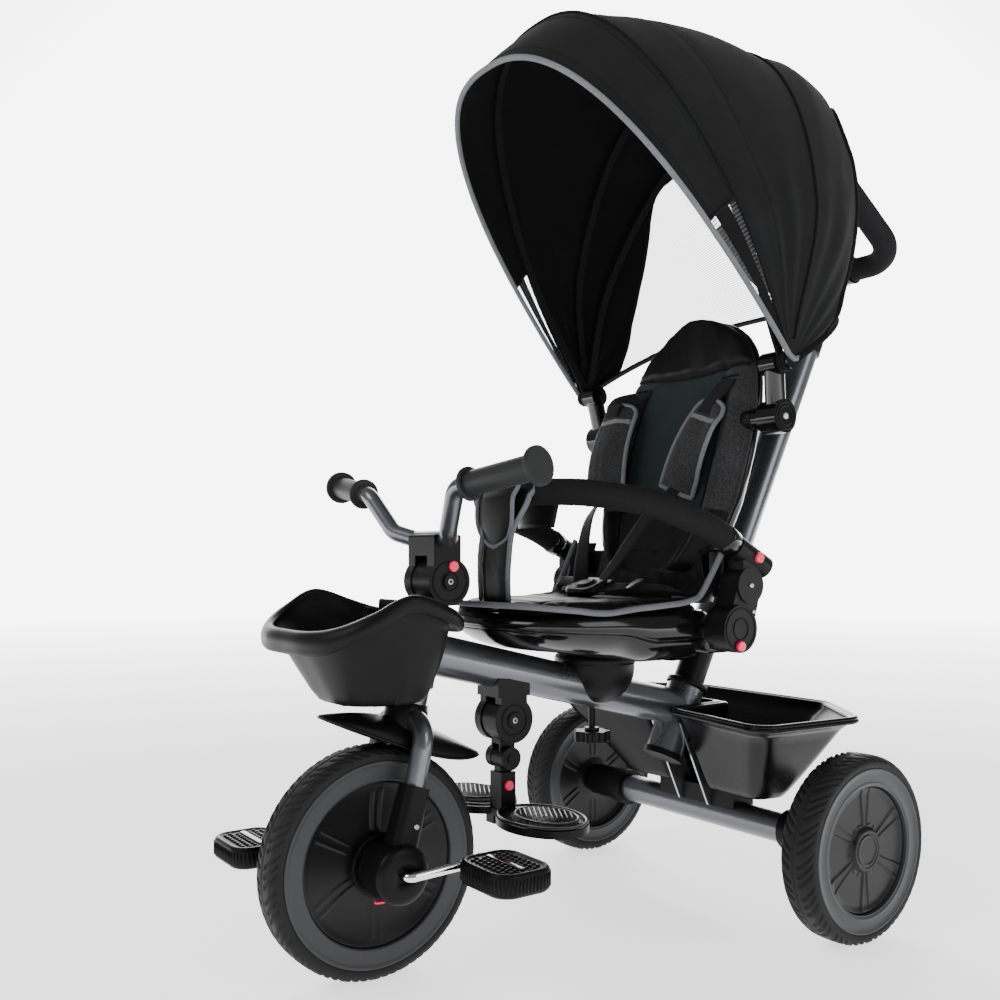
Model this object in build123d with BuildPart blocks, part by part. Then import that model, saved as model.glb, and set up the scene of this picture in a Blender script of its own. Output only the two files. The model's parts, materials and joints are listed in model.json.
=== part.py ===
from build123d import *

import os
from math import cos, hypot, radians, sin, tan

# Child's push tricycle with a canopy, a folding handlebar, a folding footrest and a push pole.
# Millimetres. +Z is up, the trike faces -Y, +X is the rider's left. The origin is on the ground,
# under the middle of the whole tricycle.

os.makedirs("parts", exist_ok=True)

# ---------------------------------------------------------------- driving dimensions
RUN_FIT = 0.06  # radial clearance of a shaft that turns in a hole
SLIDE_FIT = 0.08  # clearance round a piece that slides
MOVE_GAP = 0.5  # space between faces that pass each other
TOUCH_GAP = 0.3  # space between a soft piece and its seat

# wheels
FRONT_WHEEL_R = 120.0
REAR_WHEEL_R = 106.0
TYRE_DEPTH = 14.0
WHEEL_W = 44.0
RING_W = 20.0
WHEELBASE = 496.0
REAR_TRACK = 468.0
REAR_AXLE_Y = 164.5
FRONT_AXLE_Y = REAR_AXLE_Y - WHEELBASE
SPOKES = 6

# crank and pedals
CRANK_R = 5.0
CRANK_ARM = 75.0
CRANK_ANGLE = 5.0
CRANK_BEND_X = 78.0
PEDAL_X = 138.0
PEDAL_LEN = 84.0
PEDAL_W = 68.0
PEDAL_T = 22.0

# head tube and fork
HEAD_LEAN = 13.1
HEAD_BOTTOM_Y = -286.5
HEAD_BOTTOM_Z = 281.0
HEAD_LEN = 88.0
HEAD_R = 20.0
STEERER_R = 14.0
FORK_HALF = 45.0
FORK_TUBE_R = 11.0
FORK_LEG_LEN = 88.0
FORK_BEND_R = 28.0
CROWN_GAP = 4.0

# main tube, pole socket and rear axle
MAIN_TUBE_R = 23.0
MAIN_TUBE_WALL = 2.0
MAIN_TUBE_DROP = 13.6
MAIN_TUBE_Z = 283.3
MAIN_TUBE_Y = -56.5
POLE_TILT = 26.8
POLE_Y = 143.5
POLE_Z = 288.0
SOCKET_R = 24.0
SOCKET_LOW_Z = 187.0
SOCKET_HIGH_Z = 266.0
STUB_R = 15.0
STUB_TOP_Z = 402.0
COLLAR_R = 20.0
COLLAR_TOP_Z = 336.0
AXLE_TUBE_R = 18.5
AXLE_TUBE_HALF = 164.0
AXLE_ROD_R = 6.0

# push pole
POLE_W = 50.0
POLE_D = 38.0
POLE_WALL = 2.0
POLE_TOP_Z = 744.0
POLE_GUIDE_LEN = 64.0
HANDLE_Y = 434.5
HANDLE_Z = 852.0
HANDLE_HALF = 110.0
HANDLE_ARM = 136.0
HANDLE_ARM_RISE = 33.9
HANDLE_TUBE_R = 9.0
HANDLE_FOAM_R = 16.0

# handlebar
FOLD_Y = -250.5
FOLD_Z = 411.0
FOLD_R = 26.0
FOLD_HALF = 27.0
FOLD_KNUCKLE_HALF = 12.0
BAR_TUBE_R = 9.5
GRIP_R = 13.0
GRIP_FLANGE_R = 19.5
GRIP_INNER_X = 109.0
GRIP_OUTER_X = 201.0
GRIP_Y = -281.5
GRIP_Z = 511.0
GRIP_END_Y = -264.5
GRIP_END_Z = 523.0

# seat
SWIVEL_Y = -23.5
SWIVEL_R = 10.0
DOME_R = 48.0
SEAT_BOTTOM_Z = 317.0
SEAT_SPLIT_Z = 339.0
SEAT_TOP_Z = 361.0
CUSHION_TOP_Z = 382.0
SEAT_FRONT_Y = -198.5
SEAT_REAR_Y = 52.0
SEAT_HALF = 128.0
SEAT_NOSE_HALF = 92.0

# hinge brackets, backrest
BRACKET_IN_X = 140.0
BRACKET_T = 32.0
LOW_DISC_Y = 45.5
LOW_DISC_Z = 356.0
LOW_DISC_R = 27.0
BACK_HINGE_Y = 66.0
BACK_HINGE_Z = 405.0
BACK_DISC_R = 21.0
HINGE_PIN_R = 6.0
BACK_RECLINE = 16.8
BACK_H = 352.0
BACK_T = 16.0
BACK_PAD_T = 20.0
BACK_HALF = 130.0

# guard bar
GUARD_X = 158.0
GUARD_Y = 88.0
GUARD_Z = 430.0
GUARD_RISE = 27.5
GUARD_ARM_LEN = 88.0
GUARD_BENDS = ((150.0, -66.0, 496.0), (104.0, -118.0, 508.0), (45.0, -137.0, 511.0))
GUARD_BEND_RADII = (90.0, 80.0, 80.0, 110.0)
GUARD_TUBE_R = 9.0
GUARD_FOAM_R = 15.0
GUARD_SOCKET_LEN = 44.0
GUARD_SOCKET_R = 14.0

# canopy
CANOPY_Y = 113.5
CANOPY_Z = 664.0
CANOPY_BASE_HALF = 189.0
CANOPY_WALL = 2.0
CANOPY_PIN_R = 5.0
RIB_T = 3.0
RIB_W = 11.0
KNOB_Y = 124.5
KNOB_Z = 603.0

# footrest
FOOT_Y = -160.5
FOOT_Z = 253.0
FOOT_DRUM_R = 26.0
KNUCKLE_Y = -161.5
KNUCKLE_Z = 209.0
KNUCKLE_R = 13.0
FOOT_PLATE_TOP = 153.0
FOOT_PLATE_T = 10.0
FOOT_PAD_X = 66.0
FOOT_PAD_Y = -156.0
FOOT_PAD_A = 60.0
FOOT_PAD_B = 45.0

# baskets
BASKET_WALL = 3.0
FRONT_RIM_HALF = 108.0
FRONT_RIM_FRONT_Y = -424.0
FRONT_RIM_REAR_Y = -281.0
FRONT_RIM_Z = 404.0
FRONT_FLOOR_Z = 287.0
REAR_RIM_Z = 247.0
REAR_FLOOR_Z = 139.0
REAR_RIM_HALF = 206.0


# ---------------------------------------------------------------- shared frames and shapes
head_plane = Plane(
    origin=(0, HEAD_BOTTOM_Y, HEAD_BOTTOM_Z),
    x_dir=(1, 0, 0),
    z_dir=(0, sin(radians(HEAD_LEAN)), cos(radians(HEAD_LEAN))),
)


def pole_plane(height):
    """Plane square to the push pole where its axis is at this height."""
    along = tan_tilt * (height - POLE_Z)
    return Plane(
        origin=(0, POLE_Y + along, height),
        x_dir=(1, 0, 0),
        z_dir=(0, sin(radians(POLE_TILT)), cos(radians(POLE_TILT))),
    )


tan_tilt = sin(radians(POLE_TILT)) / cos(radians(POLE_TILT))


def main_tube_z(y):
    """Height of the main tube's centre line at this y."""
    return MAIN_TUBE_Z - (y - MAIN_TUBE_Y) * sin(radians(MAIN_TUBE_DROP)) / cos(radians(MAIN_TUBE_DROP))


def disc_x(x_from, x_to, y, z, radius, mode=Mode.ADD):
    """Cylinder along X in the open part."""
    with BuildSketch(Plane.YZ.offset(x_from)) as face:
        with Locations((y, z)):
            Circle(radius)
    extrude(face.sketch, amount=x_to - x_from, mode=mode)


def disc_z(x, y, z_from, z_to, radius, mode=Mode.ADD):
    """Cylinder along Z in the open part."""
    with BuildSketch(Plane.XY.offset(z_from)) as face:
        with Locations((x, y)):
            Circle(radius)
    extrude(face.sketch, amount=z_to - z_from, mode=mode)


def rod(start, end, radius, mode=Mode.ADD):
    """Cylinder between two points in the open part."""
    axis = Vector(end) - Vector(start)
    with BuildSketch(Plane(origin=start, z_dir=axis)) as face:
        Circle(radius)
    extrude(face.sketch, amount=axis.length, mode=mode)


def block(x_range, y_range, z_range, mode=Mode.ADD):
    """Box between two corners in the open part."""
    size = [high - low for low, high in (x_range, y_range, z_range)]
    middle = [(low + high) / 2 for low, high in (x_range, y_range, z_range)]
    with Locations(tuple(middle)):
        Box(*size, mode=mode)


def bent_tube(points, bend, outer, inner=0.0):
    """Round tube along straight runs that are joined by arcs."""
    with BuildPart() as body:
        with BuildLine() as route:
            FilletPolyline(*points, radius=bend)
        with BuildSketch(Plane(origin=route.line @ 0, z_dir=route.line % 0)):
            Circle(outer)
            if inner:
                Circle(inner, mode=Mode.SUBTRACT)
        sweep(path=route.line)
    return body.part


# ---------------------------------------------------------------- wheels
def make_tyre(radius):
    """Solid rubber tyre about the X axis, with rounded shoulders."""
    seat = radius - TYRE_DEPTH
    with BuildPart() as body:
        with BuildSketch(Plane.XY) as section:
            with Locations((0, (radius + seat) / 2)):
                Rectangle(WHEEL_W, radius - seat)
            fillet(section.vertices().group_by(Axis.Y)[-1], TYRE_DEPTH * 0.72)
            fillet(section.vertices().group_by(Axis.Y)[0], 1.5)
        revolve(axis=Axis.X)
    return body.part


def make_rim(radius, bore_r, hub_half):
    """Moulded rim: hub, thin web, drum under the tyre and a flat ring on each side."""
    seat = radius - TYRE_DEPTH
    ring_in = seat - RING_W
    face = WHEEL_W / 2 - 2.0
    with BuildPart() as body:
        with BuildSketch(Plane.XY):
            with Locations((0, (bore_r + HUB_R) / 2)):
                Rectangle(2 * hub_half, HUB_R - bore_r)
            with Locations((0, (HUB_R + seat) / 2)):
                Rectangle(WEB_T, seat - HUB_R)
            with Locations((0, seat - 2.0)):
                Rectangle(2 * face, 4.0)
            with Locations((face - 1.5, (ring_in + seat) / 2), (1.5 - face, (ring_in + seat) / 2)):
                Rectangle(3.0, seat - ring_in)
        revolve(axis=Axis.X)
        ring_edges = body.edges().filter_by(GeomType.CIRCLE).sort_by(SortBy.RADIUS)
        outer_ring = ring_edges.filter_by(lambda e: abs(e.radius - seat) < 0.01)
        chamfer(outer_ring, 0.8)
    return body.part


def rib_loop(edge_r):
    """One U-shaped rib line that opens outwards along +X of its sketch."""
    half_in = radians(14.0)
    half_out = radians(25.5)
    r_in = COVER_CAP_R + 8.0
    r_out = edge_r * 1.1
    with BuildSketch() as panel:
        with BuildLine():
            Polyline(
                (r_in * cos(half_in), -r_in * sin(half_in)),
                (r_out * cos(half_out), -r_out * sin(half_out)),
                (r_out * cos(half_out), r_out * sin(half_out)),
                (r_in * cos(half_in), r_in * sin(half_in)),
                close=True,
            )
        make_face()
        fillet(panel.vertices().filter_by(lambda v: hypot(v.X, v.Y) < edge_r), 6.0)
        offset(amount=-RIB_LINE, kind=Kind.INTERSECTION, mode=Mode.SUBTRACT)
    return panel.sketch


def make_cover(radius, hole_r):
    """Dished disc that fills the ring, with six U-shaped raised ribs and a round cap. Faces +X."""
    edge_r = radius - TYRE_DEPTH - RING_W - 0.2
    face = WHEEL_W / 2 - 3.5
    dish = face - 6.0
    with BuildPart() as body:
        with BuildSketch(Plane.XY):
            with BuildLine():
                Polyline(
                    (dish - 3.0, 0.0),
                    (dish - 3.0, edge_r * 0.86),
                    (face - 4.0, edge_r),
                    (face, edge_r),
                    (face, edge_r - 3.0),
                    (dish, edge_r * 0.84),
                    (dish - 0.8, COVER_CAP_R + 6.0),
                    (face - 1.5, COVER_CAP_R),
                    (face, COVER_CAP_R - 2.5),
                    (face, 0.0),
                    close=True,
                )
            make_face()
        revolve(axis=Axis.X)
        with BuildSketch(Plane.YZ.offset(dish - 1.0)) as ribs:
            with PolarLocations(0, SPOKES, start_angle=90):
                add(rib_loop(edge_r))
            Circle(edge_r - 1.0, mode=Mode.INTERSECT)
        extrude(ribs.sketch, amount=RIB_RISE)
        if hole_r:
            disc_x(dish - 10.0, face + 10.0, 0, 0, hole_r, mode=Mode.SUBTRACT)
        else:
            disc_x(dish - 10.0, face - 2.0, 0, 0, COVER_CAP_R - 5.0, mode=Mode.SUBTRACT)
    return body.part


HUB_R = 15.5
WEB_T = 5.0
COVER_CAP_R = 19.0
RIB_LINE = 2.4
RIB_RISE = 3.2
FRONT_HUB_HALF = 30.0
REAR_HUB_HALF = 9.2

front_wheel_at = Location((0, FRONT_AXLE_Y, FRONT_WHEEL_R))

with BuildPart() as front_tyre:
    with Locations(front_wheel_at):
        add(make_tyre(FRONT_WHEEL_R))
front_tyre.part.label = "front_tyre"
export_step(front_tyre.part, "parts/front_tyre.step")

with BuildPart() as front_rim:
    with Locations(front_wheel_at):
        add(make_rim(FRONT_WHEEL_R, CRANK_R + RUN_FIT, FRONT_HUB_HALF))
front_rim.part.label = "front_rim"
export_step(front_rim.part, "parts/front_rim.step")

front_cover = make_cover(FRONT_WHEEL_R, HUB_R + 0.2)
with BuildPart() as front_covers:
    with Locations(front_wheel_at, front_wheel_at * Location((0, 0, 0), (0, 0, 180))):
        add(front_cover)
front_covers.part.label = "front_covers"
export_step(front_covers.part, "parts/front_covers.step")

rear_outer_cover = make_cover(REAR_WHEEL_R, 0.0)
rear_inner_cover = make_cover(REAR_WHEEL_R, HUB_R + 0.2)
for side_name, side in (("left", 1), ("right", -1)):
    rear_wheel_at = Location((side * REAR_TRACK / 2, REAR_AXLE_Y, REAR_WHEEL_R))
    outward = Location((0, 0, 0), (0, 0, 0 if side > 0 else 180))
    inward = Location((0, 0, 0), (0, 0, 180 if side > 0 else 0))

    with BuildPart() as rear_tyre:
        with Locations(rear_wheel_at):
            add(make_tyre(REAR_WHEEL_R))
    rear_tyre.part.label = f"rear_tyre_{side_name}"
    export_step(rear_tyre.part, f"parts/rear_tyre_{side_name}.step")

    with BuildPart() as rear_rim:
        with Locations(rear_wheel_at):
            add(make_rim(REAR_WHEEL_R, AXLE_ROD_R + RUN_FIT, REAR_HUB_HALF))
    rear_rim.part.label = f"rear_rim_{side_name}"
    export_step(rear_rim.part, f"parts/rear_rim_{side_name}.step")

    with BuildPart() as rear_cover:
        with Locations(rear_wheel_at * outward):
            add(rear_outer_cover)
        with Locations(rear_wheel_at * inward):
            add(rear_inner_cover)
    rear_cover.part.label = f"rear_covers_{side_name}"
    export_step(rear_cover.part, f"parts/rear_covers_{side_name}.step")

# ---------------------------------------------------------------- crank, pedals, clutch
crank_y = CRANK_ARM * cos(radians(CRANK_ANGLE))
crank_z = CRANK_ARM * sin(radians(CRANK_ANGLE))
spindle_end = PEDAL_X + PEDAL_LEN / 2 - 8.0
with BuildPart() as crank:
    with BuildLine() as crank_route:
        FilletPolyline(
            (-spindle_end, FRONT_AXLE_Y - crank_y, FRONT_WHEEL_R - crank_z),
            (-CRANK_BEND_X - 10.0, FRONT_AXLE_Y - crank_y, FRONT_WHEEL_R - crank_z),
            (-CRANK_BEND_X, FRONT_AXLE_Y, FRONT_WHEEL_R),
            (CRANK_BEND_X, FRONT_AXLE_Y, FRONT_WHEEL_R),
            (CRANK_BEND_X + 10.0, FRONT_AXLE_Y + crank_y, FRONT_WHEEL_R + crank_z),
            (spindle_end, FRONT_AXLE_Y + crank_y, FRONT_WHEEL_R + crank_z),
            radius=8.0,
        )
    with BuildSketch(Plane(origin=crank_route.line @ 0, z_dir=crank_route.line % 0)):
        Circle(CRANK_R)
    sweep(path=crank_route.line)
crank.part.label = "crank"
export_step(crank.part, "parts/crank.step")


def make_pedal():
    """Pedal about its own spindle along X: solid rim, two windows, round inner boss, studs."""
    with BuildPart() as body:
        with BuildSketch(Plane.XY.offset(-PEDAL_T / 2)):
            RectangleRounded(PEDAL_LEN, PEDAL_W, 14.0)
        extrude(amount=PEDAL_T)
        fillet(body.edges().filter_by(Plane.XY), 3.0)
        with BuildSketch(Plane.XY.offset(-PEDAL_T / 2)):
            with Locations((0, PEDAL_W * 0.27), (0, -PEDAL_W * 0.27)):
                RectangleRounded(PEDAL_LEN * 0.5, PEDAL_W * 0.16, 3.0)
        extrude(amount=PEDAL_T, mode=Mode.SUBTRACT)
        for level in (PEDAL_T / 2, -PEDAL_T / 2 - 1.0):
            with BuildSketch(Plane.XY.offset(level)):
                with Locations((0, PEDAL_W * 0.4), (0, -PEDAL_W * 0.4)):
                    with GridLocations(9.0, 1.0, 7, 1):
                        Circle(2.0)
            extrude(amount=1.0)
        disc_x(-PEDAL_LEN, PEDAL_LEN / 2 - 6.0, 0, 0, CRANK_R + RUN_FIT, mode=Mode.SUBTRACT)
    return body.part


pedal = make_pedal()
with BuildPart() as pedal_left:
    with Locations((PEDAL_X, FRONT_AXLE_Y + crank_y, FRONT_WHEEL_R + crank_z)):
        add(pedal)
pedal_left.part.label = "pedal_left"
export_step(pedal_left.part, "parts/pedal_left.step")

with BuildPart() as pedal_right:
    with Locations(Location((-PEDAL_X, FRONT_AXLE_Y - crank_y, FRONT_WHEEL_R - crank_z), (0, 0, 180))):
        add(pedal)
pedal_right.part.label = "pedal_right"
export_step(pedal_right.part, "parts/pedal_right.step")

LEG_IN_X = FRONT_HUB_HALF + 1.0
BOSS_OUT_X = 68.0
BOSS_R = 30.0
clutch_in = WHEEL_W / 2 - 3.5 + 0.3
with BuildPart() as clutch_ring:
    disc_x(clutch_in, clutch_in + 4.5, FRONT_AXLE_Y, FRONT_WHEEL_R, BOSS_R + 3.0)
    disc_x(clutch_in, clutch_in + 4.5, FRONT_AXLE_Y, FRONT_WHEEL_R, HUB_R + SLIDE_FIT, mode=Mode.SUBTRACT)
    fillet(clutch_ring.edges().filter_by(GeomType.CIRCLE).sort_by(SortBy.RADIUS)[-2:], 1.2)
clutch_ring.part.label = "clutch_ring"
export_step(clutch_ring.part, "parts/clutch_ring.step")

# ---------------------------------------------------------------- fork, leg covers, fender
# Height is measured along the steering axis from the bottom of the head tube.
crown_top = -CROWN_GAP
crown_mid = crown_top - FORK_TUBE_R
leg_end = crown_mid - FORK_LEG_LEN


def head_point(x, height, back=0.0):
    """Point x from the middle plane, this far up the steering axis and this far behind it."""
    return tuple(head_plane.from_local_coords((x, back, height)))


with BuildPart() as fork:
    with BuildLine() as fork_route:
        FilletPolyline(
            head_point(-FORK_HALF, leg_end),
            head_point(-FORK_HALF, crown_mid),
            head_point(FORK_HALF, crown_mid),
            head_point(FORK_HALF, leg_end),
            radius=FORK_BEND_R,
        )
    with BuildSketch(Plane(origin=fork_route.line @ 0, z_dir=fork_route.line % 0)):
        Circle(FORK_TUBE_R)
    sweep(path=fork_route.line)
    rod(head_point(0, crown_mid), head_point(0, HEAD_LEN + 14.0), STEERER_R)
    rod(head_point(0, crown_mid), head_point(0, crown_top + CROWN_GAP - MOVE_GAP), HEAD_R - 1.0)
fork.part.label = "fork"
export_step(fork.part, "parts/fork.step")

with BuildPart() as fork_legs:
    for side in (1, -1):
        top = Vector(head_point(side * FORK_HALF, leg_end + 22.0))
        low = Vector(side * (LEG_IN_X + BOSS_OUT_X) / 2, FRONT_AXLE_Y, FRONT_WHEEL_R)
        with BuildSketch(Plane(origin=top, x_dir=(1, 0, 0), z_dir=low - top)) as upper:
            RectangleRounded(2 * FORK_TUBE_R + 5.0, 2 * FORK_TUBE_R + 7.0, 9.0)
        leg_dir = (low - top).normalized()
        with BuildSketch(Plane(origin=low - leg_dir * 12.0, x_dir=(1, 0, 0), z_dir=low - top)) as lower:
            RectangleRounded(BOSS_OUT_X - LEG_IN_X - 5.0, 2 * FORK_TUBE_R + 9.0, 9.0)
        loft([upper.sketch.face(), lower.sketch.face()])
        disc_x(side * LEG_IN_X, side * BOSS_OUT_X, FRONT_AXLE_Y, FRONT_WHEEL_R, BOSS_R)
    fillet(
        fork_legs.edges().filter_by(GeomType.CIRCLE).filter_by(lambda e: abs(e.radius - BOSS_R) < 0.01), 2.0
    )
    for side in (1, -1):
        disc_x(side * (LEG_IN_X - 1), side * (BOSS_OUT_X + 1), FRONT_AXLE_Y, FRONT_WHEEL_R,
               CRANK_R + RUN_FIT, mode=Mode.SUBTRACT)
        rod(head_point(side * FORK_HALF, leg_end), head_point(side * FORK_HALF, leg_end + 60.0),
            FORK_TUBE_R + 0.05, mode=Mode.SUBTRACT)
fork_legs.part.label = "fork_legs"
export_step(fork_legs.part, "parts/fork_legs.step")

FENDER_LEN = 198.0
FENDER_HALF = 31.0
FENDER_T = 3.0
FENDER_DROP = 12.0
FENDER_TIP_DROP = 8.0
fender_top = crown_mid - FORK_TUBE_R
with BuildPart() as fender:
    # Leaf-shaped plan, extruded, then cut to an arched roof by a swept section.
    with BuildSketch(head_plane.offset(fender_top - 40.0)):
        with BuildLine():
            Spline((0, -FENDER_LEN * 0.48), (FENDER_HALF, -10.0), (0, FENDER_LEN * 0.52))
            Spline((0, FENDER_LEN * 0.52), (-FENDER_HALF, -10.0), (0, -FENDER_LEN * 0.48))
        make_face()
    extrude(amount=80.0)
    roof = []
    for reach, drop in ((-FENDER_LEN / 2, FENDER_TIP_DROP), (0.0, 0.0), (FENDER_LEN / 2, FENDER_TIP_DROP)):
        across = Plane(
            origin=head_point(0, fender_top - drop, reach),
            x_dir=(1, 0, 0),
            z_dir=head_plane.y_dir,
        )
        with BuildSketch(across) as arch:
            with BuildLine():
                ThreePointArc((-FENDER_HALF - 4, FENDER_DROP), (0, 0), (FENDER_HALF + 4, FENDER_DROP))
                Line((FENDER_HALF + 4, FENDER_DROP), (FENDER_HALF + 4, FENDER_DROP + FENDER_T))
                ThreePointArc(
                    (FENDER_HALF + 4, FENDER_DROP + FENDER_T),
                    (0, FENDER_T),
                    (-FENDER_HALF - 4, FENDER_DROP + FENDER_T),
                )
                Line((-FENDER_HALF - 4, FENDER_DROP + FENDER_T), (-FENDER_HALF - 4, FENDER_DROP))
            make_face()
        roof.append(arch.sketch.face())
    loft(roof, mode=Mode.INTERSECT)
fender.part.label = "fender"
export_step(fender.part, "parts/fender.step")

# ---------------------------------------------------------------- main frame
main_dir = Vector(0, cos(radians(MAIN_TUBE_DROP)), -sin(radians(MAIN_TUBE_DROP)))
head_mid = Vector(head_point(0, HEAD_LEN / 2))
socket_mid_z = (SOCKET_LOW_Z + SOCKET_HIGH_Z) / 2
main_front_y = head_mid.Y + 6.0
main_rear_y = POLE_Y + tan_tilt * (socket_mid_z + 8.0 - POLE_Z)
main_front = (0, main_front_y, main_tube_z(main_front_y))
main_rear = (0, main_rear_y, main_tube_z(main_rear_y))


def pole_point(height, x=0.0):
    """Point on the push pole's axis at this height, moved x sideways."""
    origin = pole_plane(height).origin
    return (origin.X + x, origin.Y, origin.Z)


KNOB_HOLE_Y = -28.5
KNOB_ROD_R = 4.0
with BuildPart() as main_frame:
    rod(head_point(0, 0), head_point(0, HEAD_LEN), HEAD_R)
    rod(main_front, main_rear, MAIN_TUBE_R)
    rod(pole_point(SOCKET_LOW_Z), pole_point(SOCKET_HIGH_Z), SOCKET_R)
    rod(Vector(main_front) + main_dir * 22.0, Vector(main_rear) - main_dir * 25.0,
        MAIN_TUBE_R - MAIN_TUBE_WALL, mode=Mode.SUBTRACT)
    rod(head_point(0, -1), head_point(0, HEAD_LEN + 1), STEERER_R + RUN_FIT, mode=Mode.SUBTRACT)
    rod(pole_point(SOCKET_LOW_Z - 1), pole_point(SOCKET_HIGH_Z + 1), SOCKET_R - 3.0, mode=Mode.SUBTRACT)
    disc_z(0, KNOB_HOLE_Y, 240.0, main_tube_z(KNOB_HOLE_Y), KNOB_ROD_R + RUN_FIT, mode=Mode.SUBTRACT)
main_frame.part.label = "main_frame"
export_step(main_frame.part, "parts/main_frame.step")

with BuildPart() as pole_stub:
    rod(pole_point(SOCKET_LOW_Z + 6.0), pole_point(STUB_TOP_Z), STUB_R)
    rod(pole_point(SOCKET_LOW_Z + 12.0), pole_point(STUB_TOP_Z + 1.0), STUB_R - 2.0, mode=Mode.SUBTRACT)
pole_stub.part.label = "pole_stub"
export_step(pole_stub.part, "parts/pole_stub.step")

AXLE_END_X = REAR_TRACK / 2 + REAR_HUB_HALF + 4.0
HUB_IN_X = REAR_TRACK / 2 - REAR_HUB_HALF
CAP_OUT_X = REAR_TRACK / 2 - WHEEL_W / 2 + 2.5
with BuildPart() as rear_axle:
    # cross tube, and the steel rod that runs through it and carries the wheels
    disc_x(-AXLE_TUBE_HALF, AXLE_TUBE_HALF, REAR_AXLE_Y, REAR_WHEEL_R, AXLE_TUBE_R)
    disc_x(-AXLE_TUBE_HALF - 1, AXLE_TUBE_HALF + 1, REAR_AXLE_Y, REAR_WHEEL_R, AXLE_TUBE_R - 2.0,
           mode=Mode.SUBTRACT)
    disc_x(-AXLE_END_X, AXLE_END_X, REAR_AXLE_Y, REAR_WHEEL_R, AXLE_ROD_R)
rear_axle.part.label = "rear_axle"
export_step(rear_axle.part, "parts/rear_axle.step")

BRAKE_W = 40.0
BRAKE_REACH = 74.0
for side_name, side in (("left", 1), ("right", -1)):
    outer_x = side * (AXLE_TUBE_HALF - 1.0)
    with BuildPart() as brake_lever:
        disc_x(outer_x - side * 22.0, outer_x, REAR_AXLE_Y, REAR_WHEEL_R, AXLE_TUBE_R + 6.0)
        with BuildSketch(Plane.XY.offset(REAR_WHEEL_R - 17.0)) as tread:
            with Locations((outer_x - side * (BRAKE_W / 2 - 6.0), REAR_AXLE_Y + BRAKE_REACH - 18.0)):
                RectangleRounded(BRAKE_W, 36.0, 8.0)
        extrude(tread.sketch, amount=8.0)
        block(sorted((outer_x - side * 19.0, outer_x - side * 3.0)),
              (REAR_AXLE_Y + 4.0, REAR_AXLE_Y + BRAKE_REACH - 26.0),
              (REAR_WHEEL_R - 17.0, REAR_WHEEL_R - 5.0))
        disc_x(outer_x - side * 40.0, outer_x + side * 40.0, REAR_AXLE_Y, REAR_WHEEL_R,
               AXLE_TUBE_R + RUN_FIT, mode=Mode.SUBTRACT)
    brake_lever.part.label = f"brake_lever_{side_name}"
    export_step(brake_lever.part, f"parts/brake_lever_{side_name}.step")

# two stamped plates from the socket down to the axle
BRACE_T = 3.0
BRACE_W = 26.0
brace_top = Vector(0, POLE_Y + tan_tilt * (226.0 - POLE_Z) - 4.0, 226.0)
brace_low = Vector(0, REAR_AXLE_Y - 6.0, REAR_WHEEL_R + 10.0)
with BuildPart() as axle_braces:
    for side in (1, -1):
        with BuildSketch(Plane.YZ.offset(side * SOCKET_R)) as plate:
            with BuildLine():
                Polyline(
                    (brace_top.Y - BRACE_W * 0.5, brace_top.Z),
                    (brace_top.Y + BRACE_W * 0.5, brace_top.Z + 8.0),
                    (brace_low.Y + BRACE_W * 0.9, brace_low.Z),
                    (brace_low.Y - BRACE_W * 0.5, brace_low.Z),
                    close=True,
                )
            make_face()
            fillet(plate.vertices().group_by(Axis.Y)[-1], 8.0)
            with Locations(
                (brace_top.Y + 5.0, brace_top.Z - 22.0), (brace_low.Y + 1.0, brace_low.Z + 24.0)
            ):
                Circle(4.5, mode=Mode.SUBTRACT)
        extrude(plate.sketch, amount=side * BRACE_T)
    disc_x(-60, 60, REAR_AXLE_Y, REAR_WHEEL_R, AXLE_TUBE_R, mode=Mode.SUBTRACT)
    rod(main_front, main_rear, MAIN_TUBE_R + MOVE_GAP, mode=Mode.SUBTRACT)
axle_braces.part.label = "axle_braces"
export_step(axle_braces.part, "parts/axle_braces.step")

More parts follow.
